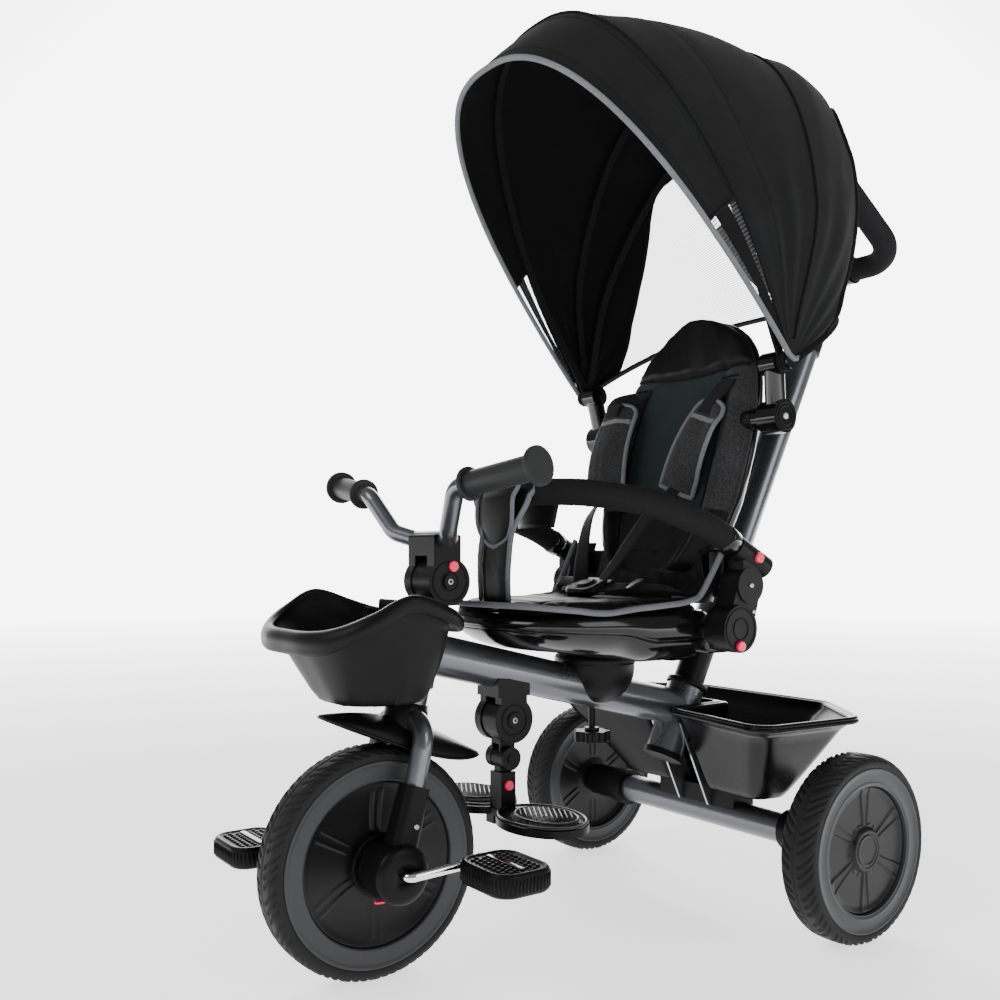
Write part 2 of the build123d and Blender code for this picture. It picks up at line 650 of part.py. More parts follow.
COLLAR_FLANGE_R = 27.0
CAP_R = AXLE_TUBE_R + 3.5
with BuildPart() as frame_trims:
    # sleeve with a flange round the foot of the pole
    rod(pole_point(SOCKET_HIGH_Z - 40.0), pole_point(SOCKET_HIGH_Z), SOCKET_R - 3.0)
    rod(pole_point(SOCKET_HIGH_Z), pole_point(SOCKET_HIGH_Z + 7.0), COLLAR_FLANGE_R)
    rod(pole_point(SOCKET_HIGH_Z + 7.0), pole_point(COLLAR_TOP_Z), COLLAR_R)
    # plug in the low end of the socket
    rod(pole_point(SOCKET_LOW_Z), pole_point(SOCKET_LOW_Z + 30.0), SOCKET_R - 3.0)
    rod(pole_point(SOCKET_LOW_Z - 7.0), pole_point(SOCKET_LOW_Z), SOCKET_R + 1.5)
    rod(pole_point(SOCKET_LOW_Z + 5.9), pole_point(COLLAR_TOP_Z + 1.0), STUB_R, mode=Mode.SUBTRACT)
    # caps on the ends of the cross tube
    for side in (1, -1):
        disc_x(side * AXLE_TUBE_HALF, side * CAP_OUT_X, REAR_AXLE_Y, REAR_WHEEL_R, CAP_R)
        disc_x(side * CAP_OUT_X, side * (HUB_IN_X - MOVE_GAP), REAR_AXLE_Y, REAR_WHEEL_R, HUB_R - 3.0)
        disc_x(side * (AXLE_TUBE_HALF - 24.0), side * AXLE_TUBE_HALF, REAR_AXLE_Y, REAR_WHEEL_R,
               AXLE_TUBE_R - 2.0)
        disc_x(side * (AXLE_TUBE_HALF - 25.0), side * HUB_IN_X, REAR_AXLE_Y, REAR_WHEEL_R, AXLE_ROD_R,
               mode=Mode.SUBTRACT)
    fillet(
        frame_trims.edges().filter_by(GeomType.CIRCLE).filter_by(
            lambda e: abs(e.radius - COLLAR_FLANGE_R) < 0.01 or abs(e.radius - CAP_R) < 0.01
        ),
        2.0,
    )
    # saddle on the cross tube that carries the rear basket
    for x_range in ((-66.0, -SOCKET_R - BRACE_T), (-SOCKET_R, SOCKET_R), (SOCKET_R + BRACE_T, 66.0)):
        block(x_range, (REAR_AXLE_Y - 15.0, REAR_AXLE_Y + 22.0), (REAR_WHEEL_R + 8.0, REAR_FLOOR_Z))
    disc_x(-70, 70, REAR_AXLE_Y, REAR_WHEEL_R, AXLE_TUBE_R, mode=Mode.SUBTRACT)
frame_trims.part.label = "frame_trims"
export_step(frame_trims.part, "parts/frame_trims.step")

# ---------------------------------------------------------------- handlebar and its fold
with BuildPart() as stem_base:
    rod(head_point(0, HEAD_LEN + MOVE_GAP), head_point(0, HEAD_LEN + 13.0), HEAD_R - 0.5)
    rod(head_point(0, HEAD_LEN + 10.0), (0, FOLD_Y, FOLD_Z - 8.0), 15.0)
    disc_x(-FOLD_KNUCKLE_HALF, FOLD_KNUCKLE_HALF, FOLD_Y, FOLD_Z, FOLD_R - 1.0)
    disc_x(-FOLD_HALF, FOLD_HALF, FOLD_Y, FOLD_Z, 5.0 + RUN_FIT, mode=Mode.SUBTRACT)
    for side in (1, -1):
        disc_x(side * FOLD_KNUCKLE_HALF, side * (FOLD_HALF + 5), FOLD_Y, FOLD_Z, FOLD_R + 2.5,
               mode=Mode.SUBTRACT)
    rod(head_point(0, HEAD_LEN - 2.0), head_point(0, HEAD_LEN + 14.0), STEERER_R, mode=Mode.SUBTRACT)
stem_base.part.label = "stem_base"
export_step(stem_base.part, "parts/stem_base.step")

with BuildPart() as fold_pin:
    disc_x(-FOLD_HALF - 1.0, FOLD_HALF + 1.0, FOLD_Y, FOLD_Z, 5.0)
    for side in (1, -1):
        disc_x(side * FOLD_HALF, side * (FOLD_HALF + 2.0), FOLD_Y, FOLD_Z, 8.0)
fold_pin.part.label = "fold_pin"
export_step(fold_pin.part, "parts/fold_pin.step")

CLAMP_TOP_Z = 462.0
BUTTON_R = 6.0
FOLD_BUTTON_Y = FOLD_Y + 4.0
FOLD_BUTTON_Z = FOLD_Z + 16.5
button_in = FOLD_HALF - 9.0
bar_rise = (CLAMP_TOP_Z - FOLD_Z) * 0.9
bar_low = (0, FOLD_Y - bar_rise * 0.12, FOLD_Z + bar_rise)
with BuildPart() as handlebar_clamp:
    for side in (1, -1):
        disc_x(side * (FOLD_KNUCKLE_HALF + MOVE_GAP), side * FOLD_HALF, FOLD_Y, FOLD_Z, FOLD_R)
        block(sorted((side * (FOLD_KNUCKLE_HALF + MOVE_GAP), side * FOLD_HALF)),
              (FOLD_Y - 20.0, FOLD_Y + 14.0), (FOLD_Z, CLAMP_TOP_Z))
    block((-FOLD_HALF, FOLD_HALF), (FOLD_Y - 20.0, FOLD_Y + 14.0), (FOLD_Z + FOLD_R + 2.0, CLAMP_TOP_Z))
    fillet(handlebar_clamp.edges().group_by(Axis.Z)[-1], 3.0)
    disc_x(-FOLD_HALF - 1, FOLD_HALF + 1, FOLD_Y, FOLD_Z, 5.0, mode=Mode.SUBTRACT)
    disc_x(-FOLD_HALF - 1, FOLD_HALF + 1, bar_low[1], bar_low[2], BAR_TUBE_R, mode=Mode.SUBTRACT)
    disc_x(button_in - 4.0, FOLD_HALF + 1, FOLD_BUTTON_Y, FOLD_BUTTON_Z, BUTTON_R + SLIDE_FIT,
           mode=Mode.SUBTRACT)
handlebar_clamp.part.label = "handlebar_clamp"
export_step(handlebar_clamp.part, "parts/handlebar_clamp.step")

with BuildPart() as fold_button:
    disc_x(button_in, FOLD_HALF + 3.5, FOLD_BUTTON_Y, FOLD_BUTTON_Z, BUTTON_R)
    fillet(fold_button.edges().sort_by(Axis.X)[-1], 1.5)
fold_button.part.label = "fold_button"
export_step(fold_button.part, "parts/fold_button.step")

bar_points = [
    (GRIP_OUTER_X - 3.0, GRIP_END_Y, GRIP_END_Z),
    (GRIP_INNER_X - 18.0, GRIP_Y - 3.0, GRIP_Z - 3.0),
    (GRIP_INNER_X - 52.0, (GRIP_Y + bar_low[1]) / 2 - 3.0, bar_low[2] + 8.0),
    (34.0, bar_low[1], bar_low[2]),
]
mirrored = [(-x, y, z) for x, y, z in reversed(bar_points)]
with BuildPart() as handlebar:
    add(bent_tube(bar_points + mirrored, [22.0, 22.0, 10.0, 10.0, 22.0, 22.0], BAR_TUBE_R))
handlebar.part.label = "handlebar"
export_step(handlebar.part, "parts/handlebar.step")

grip_dir = (Vector(bar_points[0]) - Vector(bar_points[1])).normalized()
with BuildPart() as hand_grips:
    for side in (1, -1):
        along = Vector(side * grip_dir.X, grip_dir.Y, grip_dir.Z)
        tip = Vector(side * GRIP_OUTER_X, GRIP_END_Y, GRIP_END_Z)
        length = (GRIP_OUTER_X - GRIP_INNER_X) / grip_dir.X
        rod(tip, tip - along * length, GRIP_R)
        rod(tip + along * 4.0, tip - along * 2.0, GRIP_FLANGE_R)
        rod(tip - along * (length - 5.0), tip - along * length, GRIP_FLANGE_R - 2.0)
    fillet(hand_grips.edges().filter_by(lambda e: e.geom_type == GeomType.CIRCLE
                                        and e.radius > GRIP_FLANGE_R - 3.0), 1.6)
    for side in (1, -1):
        along = Vector(side * grip_dir.X, grip_dir.Y, grip_dir.Z)
        stop = Vector(side * bar_points[0][0], bar_points[0][1], bar_points[0][2])
        rod(stop, stop - along * 120.0, BAR_TUBE_R, mode=Mode.SUBTRACT)
hand_grips.part.label = "hand_grips"
export_step(hand_grips.part, "parts/hand_grips.step")

# ---------------------------------------------------------------- seat base, knob, footrest
with BuildPart() as seat_mount:
    with BuildSketch(Plane.XZ.offset(-SWIVEL_Y)) as dome:
        with BuildLine():
            Line((0, SEAT_BOTTOM_Z - MOVE_GAP), (DOME_R, SEAT_BOTTOM_Z - MOVE_GAP))
            Line((DOME_R, SEAT_BOTTOM_Z - MOVE_GAP), (DOME_R, SEAT_BOTTOM_Z - 14.0))
            TangentArc((DOME_R, SEAT_BOTTOM_Z - 14.0), (0, SEAT_BOTTOM_Z - 58.0), tangent=(0, -1))
            Line((0, SEAT_BOTTOM_Z - 58.0), (0, SEAT_BOTTOM_Z - MOVE_GAP))
        make_face()
    revolve(dome.sketch, axis=Axis((0, SWIVEL_Y, 0), (0, 0, 1)))
    disc_z(0, SWIVEL_Y, SEAT_BOTTOM_Z - 3.0, SEAT_BOTTOM_Z + 12.0, SWIVEL_R)
    rod(main_front, main_rear, MAIN_TUBE_R, mode=Mode.SUBTRACT)
seat_mount.part.label = "seat_mount"
export_step(seat_mount.part, "parts/seat_mount.step")

KNOB_TOP_Z = 230.0
KNOB_R = 22.0
with BuildPart() as star_knob:
    with BuildSketch(Plane.XY.offset(KNOB_TOP_Z - 17.0)) as lobes:
        with Locations((0, KNOB_HOLE_Y)):
            Circle(KNOB_R - 3.0)
            with PolarLocations(KNOB_R - 4.5, 7):
                Circle(5.0)
    extrude(lobes.sketch, amount=13.0)
    fillet(star_knob.edges().filter_by(Plane.XY), 1.2)
    disc_z(0, KNOB_HOLE_Y, KNOB_TOP_Z - 5.0, KNOB_TOP_Z, 9.0)
    disc_z(0, KNOB_HOLE_Y, KNOB_TOP_Z - 1.0, main_tube_z(KNOB_HOLE_Y) - 8.0, KNOB_ROD_R)
star_knob.part.label = "star_knob"
export_step(star_knob.part, "parts/star_knob.step")

FOOT_DRUM_HALF = 21.0
FOOT_KNUCKLE_HALF = 9.0
FOOT_PIN_R = 5.0
with BuildPart() as footrest_clamp:
    for side in (1, -1):
        disc_x(side * (FOOT_KNUCKLE_HALF + MOVE_GAP), side * FOOT_DRUM_HALF, FOOT_Y, FOOT_Z, FOOT_DRUM_R)
        block(sorted((side * (FOOT_KNUCKLE_HALF + MOVE_GAP), side * FOOT_DRUM_HALF)),
              (FOOT_Y - 18.0, FOOT_Y + 18.0), (FOOT_Z, main_tube_z(FOOT_Y) - 8.0))
    block((-FOOT_DRUM_HALF, FOOT_DRUM_HALF), (FOOT_Y - 22.0, FOOT_Y + 22.0),
          (FOOT_Z + FOOT_DRUM_R + MOVE_GAP, main_tube_z(FOOT_Y) - 8.0))
    disc_x(-FOOT_DRUM_HALF - 1, FOOT_DRUM_HALF + 1, FOOT_Y, FOOT_Z, FOOT_PIN_R, mode=Mode.SUBTRACT)
    rod(main_front, main_rear, MAIN_TUBE_R, mode=Mode.SUBTRACT)
    disc_x(-FOOT_DRUM_HALF - 2.0, FOOT_DRUM_HALF + 2.0, FOOT_Y, FOOT_Z, FOOT_PIN_R)
    for side in (1, -1):
        disc_x(side * FOOT_DRUM_HALF, side * (FOOT_DRUM_HALF + 2.0), FOOT_Y, FOOT_Z, 8.5)
footrest_clamp.part.label = "footrest_clamp"
export_step(footrest_clamp.part, "parts/footrest_clamp.step")

with BuildPart() as footrest_arm:
    disc_x(-FOOT_KNUCKLE_HALF, FOOT_KNUCKLE_HALF, FOOT_Y, FOOT_Z, FOOT_DRUM_R - 1.5)
    block((-FOOT_KNUCKLE_HALF, FOOT_KNUCKLE_HALF), (FOOT_Y - 11.0, FOOT_Y + 9.0), (KNUCKLE_Z, FOOT_Z))
    disc_x(-17.0, 17.0, KNUCKLE_Y, KNUCKLE_Z, KNUCKLE_R)
    disc_x(-6.5, 6.5, KNUCKLE_Y, KNUCKLE_Z, KNUCKLE_R + 6.0, mode=Mode.SUBTRACT)
    disc_x(-FOOT_DRUM_HALF, FOOT_DRUM_HALF, FOOT_Y, FOOT_Z, FOOT_PIN_R + RUN_FIT, mode=Mode.SUBTRACT)
    disc_x(-18.5, 18.5, KNUCKLE_Y, KNUCKLE_Z, FOOT_PIN_R)
footrest_arm.part.label = "footrest_arm"
export_step(footrest_arm.part, "parts/footrest_arm.step")

FOOT_BUTTON_Z = 178.0
plate_low_z = FOOT_PLATE_TOP - FOOT_PLATE_T
with BuildPart() as footrest_plate:
    disc_x(-6.0, 6.0, KNUCKLE_Y, KNUCKLE_Z, KNUCKLE_R - 0.5)
    block((-6.0, 6.0), (KNUCKLE_Y - 8.0, KNUCKLE_Y + 8.0), (KNUCKLE_Z - 22.0, KNUCKLE_Z))
    block((-11.0, 11.0), (KNUCKLE_Y - 10.0, KNUCKLE_Y + 10.0), (plate_low_z, KNUCKLE_Z - KNUCKLE_R - 3.0))
    disc_x(-8.0, 8.0, KNUCKLE_Y, KNUCKLE_Z, FOOT_PIN_R + RUN_FIT, mode=Mode.SUBTRACT)
    with BuildSketch(Plane.XY.offset(plate_low_z)) as pads:
        with Locations((FOOT_PAD_X, FOOT_PAD_Y), (-FOOT_PAD_X, FOOT_PAD_Y)):
            Ellipse(FOOT_PAD_A, FOOT_PAD_B)
        with Locations((0, FOOT_PAD_Y)):
            Rectangle(60.0, 34.0)
    extrude(pads.sketch, amount=FOOT_PLATE_T - 2.0)
    with BuildSketch(Plane.XY.offset(FOOT_PLATE_TOP - 2.0)) as treads:
        with Locations((FOOT_PAD_X + 6.0, FOOT_PAD_Y), (-FOOT_PAD_X - 6.0, FOOT_PAD_Y)):
            Ellipse(FOOT_PAD_A - 14.0, FOOT_PAD_B - 10.0)
    extrude(treads.sketch, amount=2.0)
    with BuildSketch(Plane.XY.offset(plate_low_z - 14.0)) as feet:
        with Locations((24.0, FOOT_PAD_Y + 8.0), (-24.0, FOOT_PAD_Y + 8.0)):
            RectangleRounded(24.0, 30.0, 6.0)
    extrude(feet.sketch, amount=14.0)
    disc_x(4.0, 12.0, KNUCKLE_Y, FOOT_BUTTON_Z, BUTTON_R + SLIDE_FIT, mode=Mode.SUBTRACT)
footrest_plate.part.label = "footrest_plate"
export_step(footrest_plate.part, "parts/footrest_plate.step")

with BuildPart() as footrest_button:
    disc_x(7.0, 14.0, KNUCKLE_Y, FOOT_BUTTON_Z, BUTTON_R)
    fillet(footrest_button.edges().sort_by(Axis.X)[-1], 1.5)
footrest_button.part.label = "footrest_button"
export_step(footrest_button.part, "parts/footrest_button.step")


# ---------------------------------------------------------------- seat
def seat_outline(inset):
    """Closed outline of the seat in plan, drawn in by this much: round nose, full rear."""
    half = SEAT_HALF - inset
    nose = SEAT_NOSE_HALF - inset
    front = SEAT_FRONT_Y + inset
    rear = SEAT_REAR_Y - inset
    with BuildLine() as edge:
        Spline(
            (0, front), (nose, front + 24.0), (half - 4.0, front + 108.0), (half, rear - 34.0),
            tangents=((1, 0), (0, 1)),
        )
        Line((half, rear - 34.0), (half, rear - 22.0))
        TangentArc((half, rear - 22.0), (half - 22.0, rear), tangent=(0, 1))
        Line((half - 22.0, rear), (0, rear))
        mirror(about=Plane.YZ)
    return edge.line


RELIEF_HALF_ANGLE = 62.0


def tube_top_at(reach):
    """Height just clear of the main tube's top, this far in front of the swivel."""
    return main_tube_z(SWIVEL_Y - reach) + MAIN_TUBE_R / cos(radians(MAIN_TUBE_DROP)) + 1.5


with BuildPart() as seat_shell:
    with BuildSketch(Plane.XY.offset(SEAT_BOTTOM_Z)) as under:
        make_face(seat_outline(30.0))
    with BuildSketch(Plane.XY.offset(SEAT_SPLIT_Z)) as middle_face:
        make_face(seat_outline(0.0))
    with BuildSketch(Plane.XY.offset(SEAT_TOP_Z)) as upper:
        make_face(seat_outline(7.0))
    loft([under.sketch.face(), middle_face.sketch.face()], ruled=True)
    loft([middle_face.sketch.face(), upper.sketch.face()], ruled=True)
    for side in (1, -1):
        block(sorted((side * (SEAT_HALF - 30.0), side * BRACKET_IN_X)), (28.0, 66.0),
              (SEAT_BOTTOM_Z + 16.0, SEAT_TOP_Z - 3.0))
    disc_z(0, SWIVEL_Y, SEAT_BOTTOM_Z - 1, SEAT_BOTTOM_Z + 13.0, SWIVEL_R + RUN_FIT, mode=Mode.SUBTRACT)
    # the underside rises towards the nose, so that the seat swings over the sloping main tube
    relief_from = (SEAT_BOTTOM_Z - tube_top_at(0.0)) / tan(radians(MAIN_TUBE_DROP))
    start = radians(-90.0 - RELIEF_HALF_ANGLE)
    swing_plane = Plane(
        origin=(0, SWIVEL_Y, 0), x_dir=(cos(start), sin(start), 0), z_dir=(sin(start), -cos(start), 0)
    )
    with BuildSketch(swing_plane) as relief:
        with BuildLine():
            Polyline(
                (relief_from, SEAT_BOTTOM_Z - 60.0),
                (relief_from, tube_top_at(relief_from)),
                (240.0, tube_top_at(240.0)),
                (240.0, SEAT_BOTTOM_Z - 60.0),
                close=True,
            )
        make_face()
    revolve(relief.sketch, axis=Axis((0, SWIVEL_Y, 0), (0, 0, 1)), revolution_arc=2 * RELIEF_HALF_ANGLE,
            mode=Mode.SUBTRACT)
seat_shell.part.label = "seat_shell"
export_step(seat_shell.part, "parts/seat_shell.step")

with BuildPart() as seat_cushion:
    with BuildSketch(Plane.XY.offset(SEAT_TOP_Z + TOUCH_GAP)) as pad:
        make_face(seat_outline(2.0))
    extrude(pad.sketch, amount=CUSHION_TOP_Z - SEAT_TOP_Z - TOUCH_GAP)
    fillet(seat_cushion.edges().group_by(Axis.Z)[-1], 7.0)
seat_cushion.part.label = "seat_cushion"
export_step(seat_cushion.part, "parts/seat_cushion.step")

guard_dir = Vector(0, -cos(radians(GUARD_RISE)), sin(radians(GUARD_RISE)))


def guard_point(x, reach):
    """Point on the guard bar's plane, this far along its arms from their rear ends."""
    return (x, GUARD_Y + guard_dir.Y * reach, GUARD_Z + guard_dir.Z * reach)


SEAT_BUTTON_Y = LOW_DISC_Y - 2.0
SEAT_BUTTON_Z = LOW_DISC_Z - 19.0
GUARD_BUTTON_REACH = 14.0
BRACKET_OUT_X = BRACKET_IN_X + BRACKET_T
guard_button_at = guard_point(GUARD_X, GUARD_BUTTON_REACH)
with BuildPart() as hinge_brackets:
    for side in (1, -1):
        x_in = side * BRACKET_IN_X
        x_out = side * BRACKET_OUT_X
        disc_x(x_in, x_out, LOW_DISC_Y, LOW_DISC_Z, LOW_DISC_R)
        disc_x(x_in, x_out - side * 3.0, BACK_HINGE_Y, BACK_HINGE_Z, BACK_DISC_R)
        with BuildSketch(Plane.YZ.offset(x_in)) as link:
            with BuildLine():
                Polyline(
                    (LOW_DISC_Y - 17.0, LOW_DISC_Z), (LOW_DISC_Y + 26.0, LOW_DISC_Z),
                    (BACK_HINGE_Y + 20.0, BACK_HINGE_Z), (BACK_HINGE_Y - 20.0, BACK_HINGE_Z),
                    close=True,
                )
            make_face()
        extrude(link.sketch, amount=side * (BRACKET_T - 5.0))
        disc_x(x_in, x_in - side * 22.0, BACK_HINGE_Y, BACK_HINGE_Z, HINGE_PIN_R)
        block(sorted((side * (GUARD_X - 14.0), side * (GUARD_X + 10.0))),
              (BACK_HINGE_Y - 12.0, BACK_HINGE_Y + 14.0), (BACK_HINGE_Z, GUARD_Z + 4.0))
        rod(guard_point(side * GUARD_X, -12.0), guard_point(side * GUARD_X, GUARD_SOCKET_LEN),
            GUARD_SOCKET_R)
        rod(guard_point(side * GUARD_X, 0.0), guard_point(side * GUARD_X, GUARD_SOCKET_LEN + 1.0),
            GUARD_TUBE_R + RUN_FIT, mode=Mode.SUBTRACT)
        button_x = side * (BRACKET_OUT_X - 9.0)
        disc_x(button_x, side * (BRACKET_OUT_X + 9.0), SEAT_BUTTON_Y, SEAT_BUTTON_Z, BUTTON_R + SLIDE_FIT,
               mode=Mode.SUBTRACT)
        disc_x(side * (GUARD_X + GUARD_TUBE_R - 5.0), side * (GUARD_X + 30.0), guard_button_at[1],
               guard_button_at[2], BUTTON_R + SLIDE_FIT, mode=Mode.SUBTRACT)
hinge_brackets.part.label = "hinge_brackets"
export_step(hinge_brackets.part, "parts/hinge_brackets.step")

for side_name, side in (("left", 1), ("right", -1)):
    with BuildPart() as seat_button:
        disc_x(side * (BRACKET_OUT_X - 5.0), side * (BRACKET_OUT_X + 4.5), SEAT_BUTTON_Y, SEAT_BUTTON_Z,
               BUTTON_R)
        fillet(seat_button.edges().group_by(Axis.X)[-1 if side > 0 else 0], 1.5)
    seat_button.part.label = f"seat_button_{side_name}"
    export_step(seat_button.part, f"parts/seat_button_{side_name}.step")

    with BuildPart() as guard_button:
        disc_x(side * (GUARD_X + GUARD_TUBE_R + 2.5), side * (GUARD_X + GUARD_SOCKET_R + 3.5),
               guard_button_at[1], guard_button_at[2], BUTTON_R)
        fillet(guard_button.edges().group_by(Axis.X)[-1 if side > 0 else 0], 1.5)
    guard_button.part.label = f"guard_button_{side_name}"
    export_step(guard_button.part, f"parts/guard_button_{side_name}.step")

guard_points = [guard_point(GUARD_X, 3.0), guard_point(GUARD_X, GUARD_ARM_LEN), *GUARD_BENDS]
guard_radii = [*GUARD_BEND_RADII, *reversed(GUARD_BEND_RADII)]
guard_path = guard_points + [(-x, y, z) for x, y, z in reversed(guard_points)]
with BuildPart() as guard_bar:
    add(bent_tube(guard_path, guard_radii, GUARD_TUBE_R))
guard_bar.part.label = "guard_bar"
export_step(guard_bar.part, "parts/guard_bar.step")

foam_start = guard_point(GUARD_X, GUARD_SOCKET_LEN + 16.0)
foam_points = [foam_start] + guard_points[1:]
foam_path = foam_points + [(-x, y, z) for x, y, z in reversed(foam_points)]
with BuildPart() as guard_foam:
    add(bent_tube(foam_path, guard_radii, GUARD_FOAM_R, GUARD_TUBE_R + 0.1))
guard_foam.part.label = "guard_foam"
export_step(guard_foam.part, "parts/guard_foam.step")

# ---------------------------------------------------------------- backrest
BACK_Y = 78.0
BACK_RIM = 34.0
BACK_RIM_T = 9.0
BACK_SKIN = 12.0
BACK_FOOT_H = 4.0
back_plane = Plane(
    origin=(0, BACK_Y, BACK_HINGE_Z),
    x_dir=(1, 0, 0),
    z_dir=(0, -cos(radians(BACK_RECLINE)), sin(radians(BACK_RECLINE))),
)


def back_outline(inset):
    """Outline of the backrest in its own plane: narrow foot, wide shoulders, round top."""
    with BuildLine() as edge:
        Spline(
            (82.0 - inset, BACK_FOOT_H + inset),
            (106.0 - inset, 62.0),
            (BACK_HALF - inset, 150.0),
            (BACK_HALF - 17.0 - inset, 255.0),
            (70.0 - inset * 0.8, BACK_H - 22.0 - inset * 0.8),
            (0.0, BACK_H - inset),
            tangents=((0.35, 1.0), (-1.0, 0.0)),
        )
        Line((82.0 - inset, BACK_FOOT_H + inset), (0, BACK_FOOT_H + inset))
        mirror(about=Plane.YZ)
    return edge.line


with BuildPart() as backrest_shell:
    with BuildSketch(back_plane.offset(-BACK_SKIN)) as outer:
        make_face(back_outline(0.0))
    extrude(outer.sketch, amount=BACK_SKIN + BACK_RIM)
    with BuildSketch(back_plane) as tray:
        make_face(back_outline(BACK_RIM_T))
    extrude(tray.sketch, amount=BACK_RIM + 1.0, mode=Mode.SUBTRACT)
    for side in (1, -1):
        disc_x(side * (BRACKET_IN_X - 22.0), side * (BRACKET_IN_X - MOVE_GAP), BACK_HINGE_Y, BACK_HINGE_Z,
               17.0)
        block(sorted((side * 84.0, side * (BRACKET_IN_X - 20.0))),
              (BACK_HINGE_Y - 16.0, BACK_HINGE_Y + 26.0),
              (BACK_HINGE_Z + 6.0, BACK_HINGE_Z + 40.0))
        block(sorted((side * (BRACKET_IN_X - 22.0), side * (BRACKET_IN_X - MOVE_GAP))),
              (BACK_HINGE_Y - 15.0, BACK_HINGE_Y + 15.0), (BACK_HINGE_Z, BACK_HINGE_Z + 40.0))
        disc_x(side * (BRACKET_IN_X - 23.0), side * BRACKET_IN_X, BACK_HINGE_Y, BACK_HINGE_Z,
               HINGE_PIN_R + RUN_FIT, mode=Mode.SUBTRACT)
    extrude(tray.sketch, amount=BACK_RIM + 1.0, mode=Mode.SUBTRACT)
backrest_shell.part.label = "backrest_shell"
export_step(backrest_shell.part, "parts/backrest_shell.step")

with BuildPart() as backrest_pad:
    with BuildSketch(back_plane.offset(TOUCH_GAP)) as pad_face:
        make_face(back_outline(BACK_RIM_T + TOUCH_GAP))
    extrude(pad_face.sketch, amount=BACK_PAD_T)
    fillet(backrest_pad.faces().sort_by(SortBy.AREA)[-1].edges(), 5.0)
backrest_pad.part.label = "backrest_pad"
export_step(backrest_pad.part, "parts/backrest_pad.step")

SHOULDER_X = 52.0
SHOULDER_H = 205.0
with BuildPart() as shoulder_pads:
    with BuildSketch(back_plane.offset(BACK_PAD_T + 2 * TOUCH_GAP)) as straps:
        for side in (1, -1):
            with Locations(Location((side * SHOULDER_X, SHOULDER_H, 0), (0, 0, side * -6.0))):
                RectangleRounded(42.0, 145.0, 8.0)
    extrude(straps.sketch, amount=8.0)
shoulder_pads.part.label = "shoulder_pads"
export_step(shoulder_pads.part, "parts/shoulder_pads.step")

POST_X = 156.0
PIN_IN_X = 150.0
EYE_X = 174.0
EYE_STEP = RIB_T + 0.8
PIN_OUT_X = EYE_X + 3 * EYE_STEP + 2.0
with BuildPart() as canopy_mounts:
    for side in (1, -1):
        disc_x(side * 122.0, side * (POST_X + 12.0), KNOB_Y, KNOB_Z, 14.0)
        disc_x(side * (POST_X - 14.0), side * (POST_X + 14.0), KNOB_Y, KNOB_Z, 20.0)
        rod((side * POST_X, KNOB_Y, KNOB_Z), (side * (PIN_IN_X + 12.0), CANOPY_Y, CANOPY_Z), 12.0)
        disc_x(side * PIN_IN_X, side * (EYE_X - 0.8), CANOPY_Y, CANOPY_Z, 14.0)
        disc_x(side * PIN_IN_X, side * PIN_OUT_X, CANOPY_Y, CANOPY_Z, CANOPY_PIN_R)
        disc_x(side * (PIN_OUT_X - 1.5), side * (PIN_OUT_X + 1.5), CANOPY_Y, CANOPY_Z, 9.0)
    add(backrest_shell.part, mode=Mode.SUBTRACT)
canopy_mounts.part.label = "canopy_mounts"
export_step(canopy_mounts.part, "parts/canopy_mounts.step")


# ---------------------------------------------------------------- canopy
# Each bow lies in a plane through the pivot line. Angle 0 points forward, 90 straight up.
def canopy_plane(angle):
    return Plane(
        origin=(0, CANOPY_Y, CANOPY_Z),
        x_dir=(1, 0, 0),
        z_dir=(0, -sin(radians(angle)), -cos(radians(angle))),
    )


ARCH_POWER = 2 / 2.5
ARCH_STEPS = (0.0, 5.0, 12.0, 21.0, 33.0, 47.0, 61.0, 75.0, 90.0)


def arch_points(half, reach, base_half, foot):
    """Right half of an arch from its foot to its top: a rounded box shape that starts at base_half."""
    points = []
    for step in ARCH_STEPS:
        up = foot + (reach - foot) * sin(radians(step)) ** ARCH_POWER
        wide = half * cos(radians(step)) ** ARCH_POWER
        share = min(1.0, up / (0.45 * reach))
        spread = share * share * (3.0 - 2.0 * share)
        points.append((wide - (half - base_half) * (1.0 - spread), up))
    points[-1] = (0.0, reach)
    return points


def arch_line(half, reach, base_half, foot):
    """Whole arch from right foot to left foot, as one smooth curve."""
    right = arch_points(half, reach, base_half, foot)
    left = [(-x, y) for x, y in reversed(right[:-1])]
    return Spline(right + left)


def arch_face(angle, half, reach, base_half, foot):
    """Arch closed across its foot, in the canopy plane at this angle."""
    with BuildSketch(canopy_plane(angle)) as area:
        with BuildLine():
            arch = arch_line(half, reach, base_half, foot)
            Line(arch @ 1, arch @ 0)
        make_face()
    return area.sketch.face()


def canopy_panel(sections):
    """Thin panel through the given (angle, half width, reach) arches, open at its foot."""
    outer = [arch_face(a, half, reach, CANOPY_BASE_HALF, 26.0) for a, half, reach in sections]
    inner = [
        arch_face(a + nudge, half - CANOPY_WALL, reach - CANOPY_WALL, CANOPY_BASE_HALF - CANOPY_WALL, 22.0)
        for (a, half, reach), nudge in zip(sections, [-0.05] + [0.0] * (len(sections) - 2) + [0.05])
    ]
    with BuildPart() as panel:
        loft(outer)
        loft(inner, mode=Mode.SUBTRACT)
    return panel.part


VISOR_ANGLE = 48.0
FRONT_RIB_ANGLE = 60.0
MID_RIB_ANGLE = 94.0
REAR_RIB_ANGLE = 110.0
HEM_ANGLE = 148.5
PANEL_GAP = 0.3
FRONT_ARCH = (200.0, 458.0)
MID_ARCH = (225.0, 420.0)
REAR_ARCH = (220.0, 433.0)

